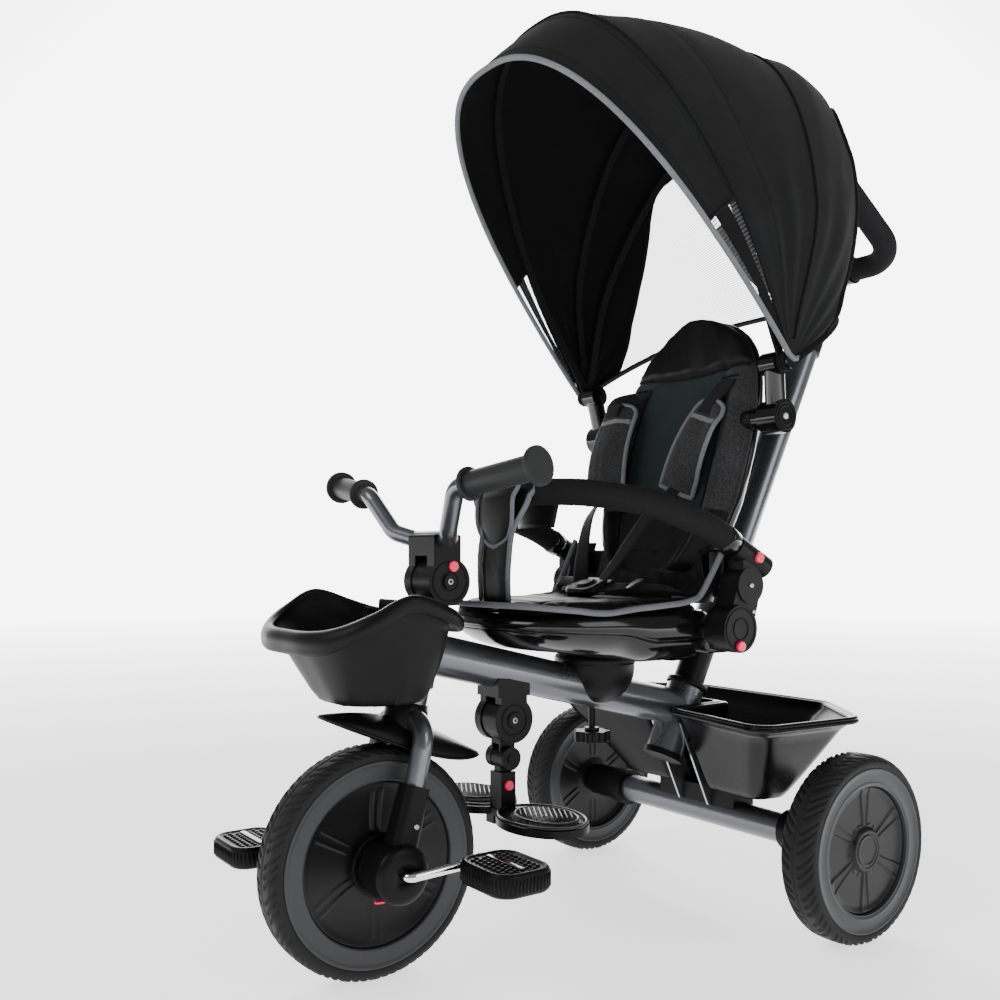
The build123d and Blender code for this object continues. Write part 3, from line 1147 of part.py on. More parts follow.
canopy_front = canopy_panel(
    [(VISOR_ANGLE, 186.0, 443.0), (FRONT_RIB_ANGLE - PANEL_GAP, *FRONT_ARCH)]
)
canopy_front.label = "canopy_front"
export_step(canopy_front, "parts/canopy_front.step")

canopy_mid = canopy_panel(
    [
        (FRONT_RIB_ANGLE + PANEL_GAP, *FRONT_ARCH),
        (73.0, 214.0, 438.0),
        (MID_RIB_ANGLE - PANEL_GAP, *MID_ARCH),
    ]
)
canopy_mid.label = "canopy_mid"
export_step(canopy_mid, "parts/canopy_mid.step")

canopy_rear = canopy_panel(
    [
        (MID_RIB_ANGLE + PANEL_GAP, *MID_ARCH),
        (REAR_RIB_ANGLE, *REAR_ARCH),
        (121.0, 213.0, 390.0),
        (134.0, 202.0, 296.0),
        (HEM_ANGLE, 192.0, 199.0),
    ]
)
canopy_rear.label = "canopy_rear"
export_step(canopy_rear, "parts/canopy_rear.step")

EYE_R = 11.0
rib_places = (
    ("rib_front", FRONT_RIB_ANGLE, FRONT_ARCH, 0, 0.9),
    ("rib_rear", REAR_RIB_ANGLE, REAR_ARCH, 1, 3.2),
    ("rib_mid", MID_RIB_ANGLE, MID_ARCH, 2, 0.9),
)
for rib_name, rib_angle, (rib_half, rib_reach), slot, rib_clear in rib_places:
    eye_in = EYE_X + slot * EYE_STEP
    skin = CANOPY_WALL + rib_clear
    plane = canopy_plane(rib_angle)
    with BuildPart() as rib:
        with BuildSketch(plane.offset(-RIB_W / 2)) as strip:
            with BuildLine():
                outer_arch = arch_line(rib_half - skin, rib_reach - skin, eye_in + RIB_T, 0.0)
                inner_arch = arch_line(rib_half - skin - RIB_T, rib_reach - skin - RIB_T, eye_in, 0.0)
                Line(outer_arch @ 0, inner_arch @ 0)
                Line(outer_arch @ 1, inner_arch @ 1)
            make_face()
        extrude(strip.sketch, amount=RIB_W)
        for side in (1, -1):
            disc_x(side * eye_in, side * (eye_in + RIB_T), CANOPY_Y, CANOPY_Z, EYE_R)
        for side in (1, -1):
            disc_x(side * (eye_in - 2.0), side * (eye_in + RIB_T + 2.0), CANOPY_Y, CANOPY_Z,
                   CANOPY_PIN_R + RUN_FIT, mode=Mode.SUBTRACT)
    rib.part.label = rib_name
    export_step(rib.part, f"parts/{rib_name}.step")

# ---------------------------------------------------------------- push pole and handle
arm_rise = radians(HANDLE_ARM_RISE)
arm_tip = (HANDLE_HALF, HANDLE_Y - HANDLE_ARM * cos(arm_rise), HANDLE_Z + HANDLE_ARM * sin(arm_rise))
arm_stop = (
    HANDLE_HALF,
    HANDLE_Y - (HANDLE_ARM - 5.0) * cos(arm_rise),
    HANDLE_Z + (HANDLE_ARM - 5.0) * sin(arm_rise),
)
HANDLE_BEND = 45.0
handle_tube = bent_tube(
    [arm_stop, (HANDLE_HALF, HANDLE_Y, HANDLE_Z), (-HANDLE_HALF, HANDLE_Y, HANDLE_Z),
     (-arm_stop[0], arm_stop[1], arm_stop[2])],
    HANDLE_BEND, HANDLE_TUBE_R,
)
button_at = pole_point(COLLAR_TOP_Z + 26.0)
with BuildPart() as push_tubes:
    low_plane = pole_plane(COLLAR_TOP_Z + MOVE_GAP)
    pole_len = (POLE_TOP_Z - COLLAR_TOP_Z - MOVE_GAP) / cos(radians(POLE_TILT))
    with BuildSketch(low_plane) as oval:
        Ellipse(POLE_W / 2, POLE_D / 2)
    extrude(oval.sketch, amount=pole_len)
    with BuildSketch(low_plane.offset(POLE_GUIDE_LEN + 10.0)) as hollow:
        Ellipse(POLE_W / 2 - POLE_WALL, POLE_D / 2 - POLE_WALL)
    extrude(hollow.sketch, amount=pole_len, mode=Mode.SUBTRACT)
    with BuildSketch(low_plane.offset(-1.0)) as guide:
        Circle(STUB_R + RUN_FIT)
    extrude(guide.sketch, amount=POLE_GUIDE_LEN + 12.0, mode=Mode.SUBTRACT)
    disc_x(STUB_R, POLE_W, button_at[1], button_at[2], BUTTON_R - 1.0 + SLIDE_FIT, mode=Mode.SUBTRACT)
    add(handle_tube)
push_tubes.part.label = "push_tubes"
export_step(push_tubes.part, "parts/push_tubes.step")

with BuildPart() as pole_button:
    disc_x(STUB_R + 3.0, POLE_W / 2 + 2.5, button_at[1], button_at[2], BUTTON_R - 1.0)
    fillet(pole_button.edges().group_by(Axis.X)[-1], 1.2)
pole_button.part.label = "pole_button"
export_step(pole_button.part, "parts/pole_button.step")

BARREL_HALF = 40.0
BARREL_R = 19.5
YOKE_SLEEVE = 3.0
with BuildPart() as push_yoke:
    foot_plane = pole_plane(POLE_TOP_Z - 14.0)
    with BuildSketch(foot_plane) as sleeve:
        Ellipse(POLE_W / 2 + YOKE_SLEEVE, POLE_D / 2 + YOKE_SLEEVE)
        Ellipse(POLE_W / 2, POLE_D / 2, mode=Mode.SUBTRACT)
    extrude(sleeve.sketch, amount=14.0 / cos(radians(POLE_TILT)))
    with BuildSketch(pole_plane(POLE_TOP_Z)) as neck_low:
        Ellipse(POLE_W / 2 + YOKE_SLEEVE, POLE_D / 2 + YOKE_SLEEVE)
    neck_plane = Plane(origin=(0, HANDLE_Y - 24.0, HANDLE_Z - 52.0), x_dir=(1, 0, 0), z_dir=(0, 0.36, 0.93))
    with BuildSketch(neck_plane) as neck_mid:
        Ellipse(POLE_W / 2 - 1.0, POLE_D / 2 - 1.0)
    with BuildSketch(Plane(origin=(0, HANDLE_Y - 4.0, HANDLE_Z - 8.0), x_dir=(1, 0, 0),
                           z_dir=(0, 0.3, 0.95))) as neck_top:
        Ellipse(BARREL_HALF - 2.0, BARREL_R - 4.0)
    loft([neck_low.sketch.face(), neck_mid.sketch.face(), neck_top.sketch.face()])
    disc_x(-BARREL_HALF, BARREL_HALF, HANDLE_Y, HANDLE_Z, BARREL_R)
    disc_x(-BARREL_HALF - 1, BARREL_HALF + 1, HANDLE_Y, HANDLE_Z, HANDLE_TUBE_R, mode=Mode.SUBTRACT)
push_yoke.part.label = "push_yoke"
export_step(push_yoke.part, "parts/push_yoke.step")

with BuildPart() as handle_foam:
    for side in (1, -1):
        add(bent_tube(
            [(side * arm_tip[0], arm_tip[1], arm_tip[2]), (side * HANDLE_HALF, HANDLE_Y, HANDLE_Z),
             (side * (BARREL_HALF + TOUCH_GAP), HANDLE_Y, HANDLE_Z)],
            HANDLE_BEND, HANDLE_FOAM_R))
        add(bent_tube(
            [(side * arm_stop[0], arm_stop[1], arm_stop[2]), (side * HANDLE_HALF, HANDLE_Y, HANDLE_Z),
             (side * (BARREL_HALF - 1.0), HANDLE_Y, HANDLE_Z)],
            HANDLE_BEND, HANDLE_TUBE_R + 0.05), mode=Mode.SUBTRACT)
handle_foam.part.label = "handle_foam"
export_step(handle_foam.part, "parts/handle_foam.step")


# ---------------------------------------------------------------- baskets
FRONT_NOTCH_HALF = 25.0
FRONT_NOTCH_Y = -311.0


def front_basket_face(height, grow):
    """Front basket outline at this height, grown or shrunk: wide at the rim, narrow at the floor."""
    rise = (height - FRONT_FLOOR_Z) / (FRONT_RIM_Z - FRONT_FLOOR_Z)
    half = 64.0 + (FRONT_RIM_HALF - 64.0) * rise + grow
    front = -384.0 + (FRONT_RIM_FRONT_Y + 384.0) * rise - grow
    rear = -291.0 + (FRONT_RIM_REAR_Y + 291.0) * rise + grow
    with BuildSketch(Plane.XY.offset(height)) as area:
        with BuildLine():
            Polyline((half * 0.86, rear), (half, rear - 45.0),
                     (half * 0.78, front + 20.0), (half * 0.4, front),
                     (-half * 0.4, front), (-half * 0.78, front + 20.0), (-half, rear - 45.0),
                     (-half * 0.86, rear), close=True)
        make_face()
        fillet(area.vertices(), 15.0)
    return area.sketch.face()


with BuildPart() as front_cavity:
    loft([front_basket_face(FRONT_FLOOR_Z + BASKET_WALL, -BASKET_WALL),
          front_basket_face(FRONT_RIM_Z + 1.0, -BASKET_WALL)], ruled=True)
    block((-FRONT_NOTCH_HALF - BASKET_WALL, FRONT_NOTCH_HALF + BASKET_WALL),
          (FRONT_NOTCH_Y - BASKET_WALL, -200.0), (FRONT_FLOOR_Z - 5.0, FRONT_RIM_Z + 5.0),
          mode=Mode.SUBTRACT)

with BuildPart() as front_basket:
    loft([front_basket_face(FRONT_FLOOR_Z, 0.0), front_basket_face(FRONT_RIM_Z, 0.0)], ruled=True)
    fillet(front_basket.faces().sort_by(Axis.Z)[0].edges(), 8.0)
    add(front_cavity.part, mode=Mode.SUBTRACT)
    block((-FRONT_NOTCH_HALF, FRONT_NOTCH_HALF), (FRONT_NOTCH_Y, -200.0),
          (FRONT_FLOOR_Z - 5.0, FRONT_RIM_Z + 5.0), mode=Mode.SUBTRACT)
    # the rim dips at the front and again at the rear
    with BuildSketch(Plane.YZ.offset(-150.0)) as above:
        with BuildLine():
            Spline((-440.0, 362.0), (-400.0, 374.0), (-345.0, FRONT_RIM_Z - 2.0), (-300.0, 386.0),
                   (-260.0, 368.0))
            Polyline((-260.0, 368.0), (-260.0, 440.0), (-440.0, 440.0), (-440.0, 362.0))
        make_face()
    extrude(above.sketch, amount=300.0, mode=Mode.SUBTRACT)
    block((-14.0, 14.0), (FRONT_NOTCH_Y - 1.0, HEAD_BOTTOM_Y + 4.0), (304.0, 344.0))
    rod(head_point(0, -5.0), head_point(0, HEAD_LEN), HEAD_R, mode=Mode.SUBTRACT)
front_basket.part.label = "front_basket"
export_step(front_basket.part, "parts/front_basket.step")

REAR_NOTCH_HALF = 30.0
REAR_NOTCH_Y = 177.0
RIM_LIP = 8.0
RIM_LIP_T = 6.0


def rear_basket_face(height, grow):
    """Rear basket outline at this height: a shallow front, a bowed rear, tapering to the floor."""
    rise = (height - REAR_FLOOR_Z) / (REAR_RIM_Z - REAR_FLOOR_Z)
    low = ((30.0, 138.0), (116.0, 134.0), (126.0, 184.0), (72.0, 204.0))
    high = ((30.0, 84.0), (190.0, 56.0), (REAR_RIM_HALF, 204.0), (108.0, 278.0))
    right = []
    for (x_low, y_low), (x_high, y_high) in zip(low, high):
        x = x_low + (x_high - x_low) * rise
        y = y_low + (y_high - y_low) * rise
        right.append((x + (grow if x > 31.0 else 0.0), y + (grow if y > 170.0 else -grow)))
    with BuildSketch(Plane.XY.offset(height)) as area:
        with BuildLine():
            Polyline(right + [(-x, y) for x, y in reversed(right)], close=True)
        make_face()
        fillet(area.vertices().filter_by(lambda v: abs(v.X) > 50.0), 16.0)
    return area.sketch.face()


with BuildPart() as rear_cavity:
    loft([rear_basket_face(REAR_FLOOR_Z + BASKET_WALL, -BASKET_WALL),
          rear_basket_face(REAR_RIM_Z + 1.0, -BASKET_WALL)], ruled=True)
    block((-REAR_NOTCH_HALF - BASKET_WALL, REAR_NOTCH_HALF + BASKET_WALL), (0.0, REAR_NOTCH_Y + BASKET_WALL),
          (REAR_FLOOR_Z - 5.0, REAR_RIM_Z + 5.0), mode=Mode.SUBTRACT)

with BuildPart() as rear_basket:
    loft([rear_basket_face(REAR_FLOOR_Z, 0.0), rear_basket_face(REAR_RIM_Z, 0.0)], ruled=True)
    extrude(rear_basket_face(REAR_RIM_Z, RIM_LIP), amount=-RIM_LIP_T)
    fillet(rear_basket.faces().sort_by(Axis.Z)[-1].edges().filter_by(lambda e: e.length > 20.0), 2.0)
    add(rear_cavity.part, mode=Mode.SUBTRACT)
    block((-REAR_NOTCH_HALF, REAR_NOTCH_HALF), (0.0, REAR_NOTCH_Y), (REAR_FLOOR_Z - 5.0, REAR_RIM_Z + 5.0),
          mode=Mode.SUBTRACT)
rear_basket.part.label = "rear_basket"
export_step(rear_basket.part, "parts/rear_basket.step")
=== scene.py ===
import bmesh
import bpy
import json
from math import atan2, cos, degrees, exp, hypot, pi, radians, sin, sqrt
from mathutils import Vector, noise
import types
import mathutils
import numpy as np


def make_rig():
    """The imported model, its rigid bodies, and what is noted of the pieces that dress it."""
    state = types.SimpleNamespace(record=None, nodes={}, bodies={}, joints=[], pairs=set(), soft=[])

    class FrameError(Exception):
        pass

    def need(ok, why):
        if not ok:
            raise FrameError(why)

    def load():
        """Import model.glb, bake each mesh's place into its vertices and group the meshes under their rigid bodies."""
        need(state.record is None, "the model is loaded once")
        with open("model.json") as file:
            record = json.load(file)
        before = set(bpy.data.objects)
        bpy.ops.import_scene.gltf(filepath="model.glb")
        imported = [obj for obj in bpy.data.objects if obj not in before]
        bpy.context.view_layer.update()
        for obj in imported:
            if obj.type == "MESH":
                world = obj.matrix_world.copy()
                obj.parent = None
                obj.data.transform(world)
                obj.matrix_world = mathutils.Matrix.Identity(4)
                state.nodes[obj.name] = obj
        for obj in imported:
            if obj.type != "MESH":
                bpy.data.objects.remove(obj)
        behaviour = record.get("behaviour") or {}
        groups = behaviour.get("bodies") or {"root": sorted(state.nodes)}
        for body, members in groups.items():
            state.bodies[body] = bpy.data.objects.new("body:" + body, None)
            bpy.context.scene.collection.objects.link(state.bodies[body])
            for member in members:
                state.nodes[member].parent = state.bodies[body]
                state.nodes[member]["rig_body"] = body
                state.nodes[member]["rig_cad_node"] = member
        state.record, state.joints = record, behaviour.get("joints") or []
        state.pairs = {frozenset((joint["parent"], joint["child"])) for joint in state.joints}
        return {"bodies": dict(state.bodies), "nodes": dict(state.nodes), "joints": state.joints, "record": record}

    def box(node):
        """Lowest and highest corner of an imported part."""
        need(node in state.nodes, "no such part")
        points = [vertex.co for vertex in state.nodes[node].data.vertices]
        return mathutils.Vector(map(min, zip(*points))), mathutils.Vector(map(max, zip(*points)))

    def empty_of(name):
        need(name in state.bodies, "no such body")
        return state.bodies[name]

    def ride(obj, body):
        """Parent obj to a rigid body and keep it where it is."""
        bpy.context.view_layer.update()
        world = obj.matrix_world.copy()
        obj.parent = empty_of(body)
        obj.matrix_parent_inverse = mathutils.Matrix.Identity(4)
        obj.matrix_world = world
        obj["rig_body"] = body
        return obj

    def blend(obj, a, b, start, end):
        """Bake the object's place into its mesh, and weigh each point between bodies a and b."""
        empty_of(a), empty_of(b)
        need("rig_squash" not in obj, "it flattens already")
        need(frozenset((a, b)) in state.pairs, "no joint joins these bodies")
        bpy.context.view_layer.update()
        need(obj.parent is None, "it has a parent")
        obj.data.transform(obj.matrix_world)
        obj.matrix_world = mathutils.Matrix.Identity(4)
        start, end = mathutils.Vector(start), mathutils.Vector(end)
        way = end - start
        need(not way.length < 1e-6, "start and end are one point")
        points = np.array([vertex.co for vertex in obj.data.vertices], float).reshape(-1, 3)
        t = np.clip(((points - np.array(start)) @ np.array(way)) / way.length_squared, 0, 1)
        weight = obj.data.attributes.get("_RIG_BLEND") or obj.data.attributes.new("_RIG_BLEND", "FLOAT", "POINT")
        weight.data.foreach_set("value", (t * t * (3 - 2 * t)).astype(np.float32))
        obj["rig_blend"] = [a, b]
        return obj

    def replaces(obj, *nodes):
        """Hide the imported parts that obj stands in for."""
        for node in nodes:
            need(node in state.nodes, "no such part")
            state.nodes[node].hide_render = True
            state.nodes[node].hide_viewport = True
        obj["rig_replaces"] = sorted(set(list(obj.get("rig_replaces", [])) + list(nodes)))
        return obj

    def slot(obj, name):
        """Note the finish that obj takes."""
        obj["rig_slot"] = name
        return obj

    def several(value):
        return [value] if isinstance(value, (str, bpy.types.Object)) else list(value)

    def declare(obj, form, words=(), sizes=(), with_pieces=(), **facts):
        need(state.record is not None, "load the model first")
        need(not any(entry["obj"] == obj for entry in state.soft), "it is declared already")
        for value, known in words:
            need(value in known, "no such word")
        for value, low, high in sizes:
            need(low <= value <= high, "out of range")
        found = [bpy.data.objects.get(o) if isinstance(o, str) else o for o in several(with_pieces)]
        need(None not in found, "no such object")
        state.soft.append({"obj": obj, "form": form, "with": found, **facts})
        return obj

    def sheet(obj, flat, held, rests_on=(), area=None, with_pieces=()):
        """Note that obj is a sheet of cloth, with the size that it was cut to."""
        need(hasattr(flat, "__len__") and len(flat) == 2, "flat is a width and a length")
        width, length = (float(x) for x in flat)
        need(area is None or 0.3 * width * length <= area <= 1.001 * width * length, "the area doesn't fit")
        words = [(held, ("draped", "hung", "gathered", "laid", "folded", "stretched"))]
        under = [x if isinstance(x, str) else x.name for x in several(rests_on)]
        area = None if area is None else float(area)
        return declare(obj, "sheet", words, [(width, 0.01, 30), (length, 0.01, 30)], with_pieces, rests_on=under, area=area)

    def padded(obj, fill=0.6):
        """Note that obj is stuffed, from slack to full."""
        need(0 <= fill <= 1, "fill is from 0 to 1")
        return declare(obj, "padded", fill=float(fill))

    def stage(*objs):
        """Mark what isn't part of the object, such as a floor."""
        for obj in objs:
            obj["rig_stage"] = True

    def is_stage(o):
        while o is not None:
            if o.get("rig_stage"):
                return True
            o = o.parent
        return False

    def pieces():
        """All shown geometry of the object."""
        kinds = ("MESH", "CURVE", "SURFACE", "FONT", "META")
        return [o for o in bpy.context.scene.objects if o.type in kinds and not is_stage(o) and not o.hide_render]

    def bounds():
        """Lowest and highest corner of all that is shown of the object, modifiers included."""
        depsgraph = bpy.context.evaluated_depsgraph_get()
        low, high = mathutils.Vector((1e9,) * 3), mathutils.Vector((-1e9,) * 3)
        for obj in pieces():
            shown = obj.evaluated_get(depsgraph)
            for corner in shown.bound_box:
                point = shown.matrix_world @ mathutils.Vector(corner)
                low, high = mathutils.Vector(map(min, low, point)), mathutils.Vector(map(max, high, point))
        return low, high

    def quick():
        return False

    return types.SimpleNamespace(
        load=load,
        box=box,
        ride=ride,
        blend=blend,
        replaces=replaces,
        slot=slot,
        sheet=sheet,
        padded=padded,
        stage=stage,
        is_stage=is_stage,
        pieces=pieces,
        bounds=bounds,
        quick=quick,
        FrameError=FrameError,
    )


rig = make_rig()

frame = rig.load()
box_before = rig.bounds()

# Lengths in this script are millimetres in the row frame, and become metres when a mesh is made.
MM = 0.001
SIDES = ((1, "left"), (-1, "right"))
HEAD_AXIS = (0, 0.2267, 0.974)
HINGE_YZ = (66.0, 405.0)
KNOB_YZ = (124.5, 603.0)


# ------------------------------------------------------------------ materials
class Nodes:
    """Shorthand for building one material's node tree."""

    def __init__(self, name):
        self.mat = bpy.data.materials.new(name)
        self.mat.use_nodes = True
        self.tree = self.mat.node_tree
        self.shader = self.tree.nodes["Principled BSDF"]

    def add(self, kind, inputs=None, **settings):
        node = self.tree.nodes.new("ShaderNode" + kind)
        for key, value in settings.items():
            setattr(node, key, value)
        for key, value in (inputs or {}).items():
            socket = node.inputs[key]
            if isinstance(value, bpy.types.NodeSocket):
                self.tree.links.new(value, socket)
            else:
                socket.default_value = value
        return node

    def link(self, socket, target):
        self.tree.links.new(socket, target)

    def set(self, **values):
        names = {"metal": "Metallic", "rough": "Roughness", "coat": "Coat Weight",
                 "coat_rough": "Coat Roughness", "sheen": "Sheen Weight", "sheen_rough": "Sheen Roughness",
                 "spec": "Specular IOR Level", "alpha": "Alpha"}
        for key, value in values.items():
            self.shader.inputs[names[key]].default_value = value

    def mix(self, share, a, b):
        node = self.add("Mix", data_type="RGBA")
        for index, value in ((0, share), (6, a), (7, b)):
            if isinstance(value, bpy.types.NodeSocket):
                self.link(value, node.inputs[index])
            else:
                node.inputs[index].default_value = value
        return node.outputs[2]

    def ranged(self, value, low, high, start=0.0, end=1.0):
        node = self.add("MapRange", {"Value": value, "From Min": start, "From Max": end,
                                     "To Min": low, "To Max": high})
        return node.outputs["Result"]


def shade(color, factor):
    return tuple(min(1.0, c * factor) for c in color[:3]) + (1.0,)


def hard(name, color, rough, metal=0.0, coat=0.0, grain=1400.0, bump=0.06, mottle=0.08, wear=0.08,
         depth=0.0002, spec=0.5):
    """Moulded plastic, paint or metal: faint mottling, uneven gloss, fine grain and light rubbing."""
    n = Nodes(name)
    place = n.add("TexCoord").outputs["Object"]
    broad = n.add("TexNoise",
                  {"Vector": place, "Scale": 9.0, "Detail": 4.0, "Roughness": 0.6}).outputs["Fac"]
    rubs = n.add("TexNoise",
                 {"Vector": place, "Scale": 60.0, "Detail": 6.0, "Roughness": 0.7}).outputs["Fac"]
    fine = n.add("TexNoise",
                 {"Vector": place, "Scale": grain, "Detail": 2.0, "Roughness": 0.5}).outputs["Fac"]
    tone = n.mix(broad, shade(color, 1.0 - mottle), shade(color, 1.0 + mottle))
    scuffs = n.ranged(rubs, 0.0, wear, 0.52, 0.75)
    lighter = shade([c + 0.012 for c in color], 1.5)
    n.link(n.mix(scuffs, tone, lighter), n.shader.inputs["Base Color"])
    uneven = n.ranged(broad, rough * 0.85, rough * 1.15, 0.3, 0.7)
    extra = n.add("Math", {0: uneven, 1: scuffs}, operation="ADD")
    n.link(extra.outputs[0], n.shader.inputs["Roughness"])
    relief = n.add("Bump", {"Height": fine, "Strength": bump, "Distance": depth})
    n.link(relief.outputs["Normal"], n.shader.inputs["Normal"])
    n.set(metal=metal, coat=coat, coat_rough=0.08, spec=spec)
    return n.mat


def cloth(name, dark, light, pitch=0.9, fibre=0.5, rough=0.9, bump=0.35, sheen=0.12, use_uv=False):
    """Woven cloth: a twill line every pitch mm, mixed light and dark yarns, soft sheen."""
    n = Nodes(name)
    place = n.add("TexCoord").outputs["UV" if use_uv else "Object"]
    bands = 1000.0 / pitch / 6.2832
    twill = n.add("TexWave", {"Vector": place, "Scale": bands, "Distortion": 0.6, "Detail": 1.0},
                  bands_direction="DIAGONAL")
    cross = n.add("TexWave", {"Vector": place, "Scale": bands * 1.7, "Distortion": 0.4, "Detail": 1.0},
                  bands_direction="X")
    yarns = n.add("TexNoise", {"Vector": place, "Scale": 750.0, "Detail": 3.0, "Roughness": 0.75})
    broad = n.add("TexNoise", {"Vector": place, "Scale": 16.0, "Detail": 3.0})
    melange = n.ranged(yarns.outputs["Fac"], 0.0, 1.0, 0.5 - 0.25 * (1.2 - fibre), 0.72)
    yarn = n.mix(melange, shade(dark, 1.0), shade(light, 1.0))
    tone = n.mix(n.ranged(broad.outputs["Fac"], 0.0, 0.35, 0.35, 0.7), yarn, shade(dark, 0.75))
    rows = n.mix(n.ranged(twill.outputs["Fac"], 0.0, 0.35), tone, shade(dark, 0.6))
    n.link(rows, n.shader.inputs["Base Color"])
    n.link(n.ranged(broad.outputs["Fac"], rough - 0.06, rough + 0.05), n.shader.inputs["Roughness"])
    height = n.add("Math", {0: twill.outputs["Fac"], 1: cross.outputs["Fac"]}, operation="MULTIPLY")
    weave = n.add("Bump", {"Height": height.outputs[0], "Strength": bump, "Distance": 0.0003})
    n.link(weave.outputs["Normal"], n.shader.inputs["Normal"])
    n.set(sheen=sheen, sheen_rough=0.45, spec=0.10)
    return n.mat


def netting(name, color, hole, thread):
    """See-through mesh cloth: round-edged holes every few millimetres, from UV in metres."""
    n = Nodes(name)
    split = n.add("SeparateXYZ", {"Vector": n.add("TexCoord").outputs["UV"]})
    cover = []
    for axis, shift in (("X", 0.0), ("Y", 0.25)):
        scaled = n.add("Math", {0: split.outputs[axis], 1: 1000.0 / hole}, operation="MULTIPLY")
        moved = n.add("Math", {0: scaled.outputs[0], 1: shift}, operation="ADD")
        part = n.add("Math", {0: moved.outputs[0]}, operation="FRACT")
        off = n.add("Math", {0: part.outputs[0], 1: 0.5}, operation="SUBTRACT")
        far = n.add("Math", {0: off.outputs[0]}, operation="ABSOLUTE")
        cover.append(n.ranged(far.outputs[0], 0.0, 1.0, 0.5 - thread / hole, 0.5 - thread / hole + 0.06))
    both = n.add("Math", {0: cover[0], 1: cover[1]}, operation="MAXIMUM")
    fuzz = n.add("TexNoise", {"Vector": n.add("TexCoord").outputs["UV"], "Scale": 900.0, "Detail": 2.0})
    n.link(n.mix(fuzz.outputs["Fac"], shade(color, 0.8), shade(color, 1.15)), n.shader.inputs["Base Color"])
    n.link(n.ranged(fuzz.outputs["Fac"], 0.7, 0.95), n.shader.inputs["Roughness"])
    relief = n.add("Bump", {"Height": both.outputs[0], "Strength": 0.4, "Distance": 0.0003})
    n.link(relief.outputs["Normal"], n.shader.inputs["Normal"])
    n.link(both.outputs[0], n.shader.inputs["Alpha"])
    return n.mat


paint = hard("gunmetal_paint", (0.118, 0.120, 0.132), 0.30, metal=0.85, coat=0.30, grain=2600, bump=0.10,
             mottle=0.06, wear=0.03)
zinc = hard("zinc_plate", (0.42, 0.43, 0.45), 0.34, metal=1.0, grain=700, bump=0.08, mottle=0.15, wear=0.06)
chrome = hard("chrome", (0.80, 0.80, 0.82), 0.08, metal=1.0, grain=300, bump=0.02, mottle=0.03, wear=0.02)
satin = hard("black_satin_plastic", (0.0042, 0.0042, 0.0047), 0.38, grain=1700, bump=0.22, mottle=0.12,
             wear=0.05, spec=0.11)
gloss = hard("black_gloss_plastic", (0.0030, 0.0030, 0.0034), 0.12, coat=0.12, grain=500, bump=0.03,
             mottle=0.1, wear=0.05, spec=0.26)
grey_ring = hard("grey_wheel_plastic", (0.034, 0.035, 0.038), 0.38, grain=1500, bump=0.16, mottle=0.06,
                 wear=0.05, spec=0.25)
basket_black = hard("black_basket_plastic", (0.0030, 0.0030, 0.0034), 0.24, grain=600, bump=0.05,
                    mottle=0.1, wear=0.05, spec=0.12)
cover_black = hard("wheel_cover_plastic", (0.0062, 0.0062, 0.0068), 0.33, grain=1500, bump=0.18, mottle=0.1,
                   wear=0.06, spec=0.2)
red = hard("pink_red_plastic", (0.80, 0.012, 0.075), 0.24, coat=0.2, grain=900, bump=0.05, mottle=0.05,
           wear=0.02, spec=0.4)
tyre_rubber = hard("tyre_rubber", (0.0085, 0.0085, 0.0090), 0.62, grain=1100, bump=0.35, mottle=0.15,
                   wear=0.14, spec=0.2)
grip_rubber = hard("grip_rubber", (0.0105, 0.0107, 0.0115), 0.56, grain=1300, bump=0.35, mottle=0.1,
                   wear=0.08, spec=0.22)
foam = hard("closed_cell_foam", (0.0085, 0.0085, 0.0092), 0.88, grain=1000, bump=0.65, mottle=0.2,
            wear=0.03, depth=0.0005, spec=0.08)
tread_plastic = hard("tread_plastic", (0.012, 0.012, 0.013), 0.30, grain=900, bump=0.1, spec=0.35)
canopy_cloth = cloth("canopy_melange_twill", (0.0036, 0.0037, 0.0040), (0.0125, 0.0128, 0.0138), pitch=1.0,
                     fibre=0.55, use_uv=True, bump=0.3, sheen=0.035)
lining_cloth = cloth("black_lining", (0.0016, 0.0016, 0.0018), (0.0032, 0.0032, 0.0035), pitch=0.8,
                     fibre=0.3, use_uv=True, bump=0.25, sheen=0.0)
grey_binding = cloth("grey_piping", (0.085, 0.088, 0.098), (0.185, 0.190, 0.205), pitch=0.8, fibre=0.6,
                     bump=0.4, sheen=0.05)
dark_binding = cloth("black_binding", (0.0032, 0.0032, 0.0036), (0.0075, 0.0075, 0.0082), pitch=0.8,
                     fibre=0.4, bump=0.45, sheen=0.02)
webbing = cloth("black_webbing", (0.0042, 0.0042, 0.0047), (0.0125, 0.0125, 0.014), pitch=1.3, fibre=0.4,
                bump=0.6, rough=0.72, sheen=0.05)
satin_cloth = cloth("black_satin_cloth", (0.0030, 0.0030, 0.0034), (0.0065, 0.0065, 0.0073), pitch=0.6,
                    fibre=0.3, rough=0.46, bump=0.15, sheen=0.02)
plain_cloth = cloth("teal_grey_cloth", (0.0100, 0.0140, 0.0150), (0.0170, 0.0225, 0.0240), pitch=0.7,
                    fibre=0.4, bump=0.3, sheen=0.05)
melange_cloth = cloth("melange_cloth", (0.0090, 0.0090, 0.0096), (0.066, 0.067, 0.070), pitch=1.1,
                      fibre=0.75, bump=0.5, sheen=0.06)
window_net = netting("window_netting", (0.09, 0.092, 0.097), 3.4, 0.58)
visor_net = netting("visor_netting", (0.07, 0.072, 0.076), 4.0, 0.55)


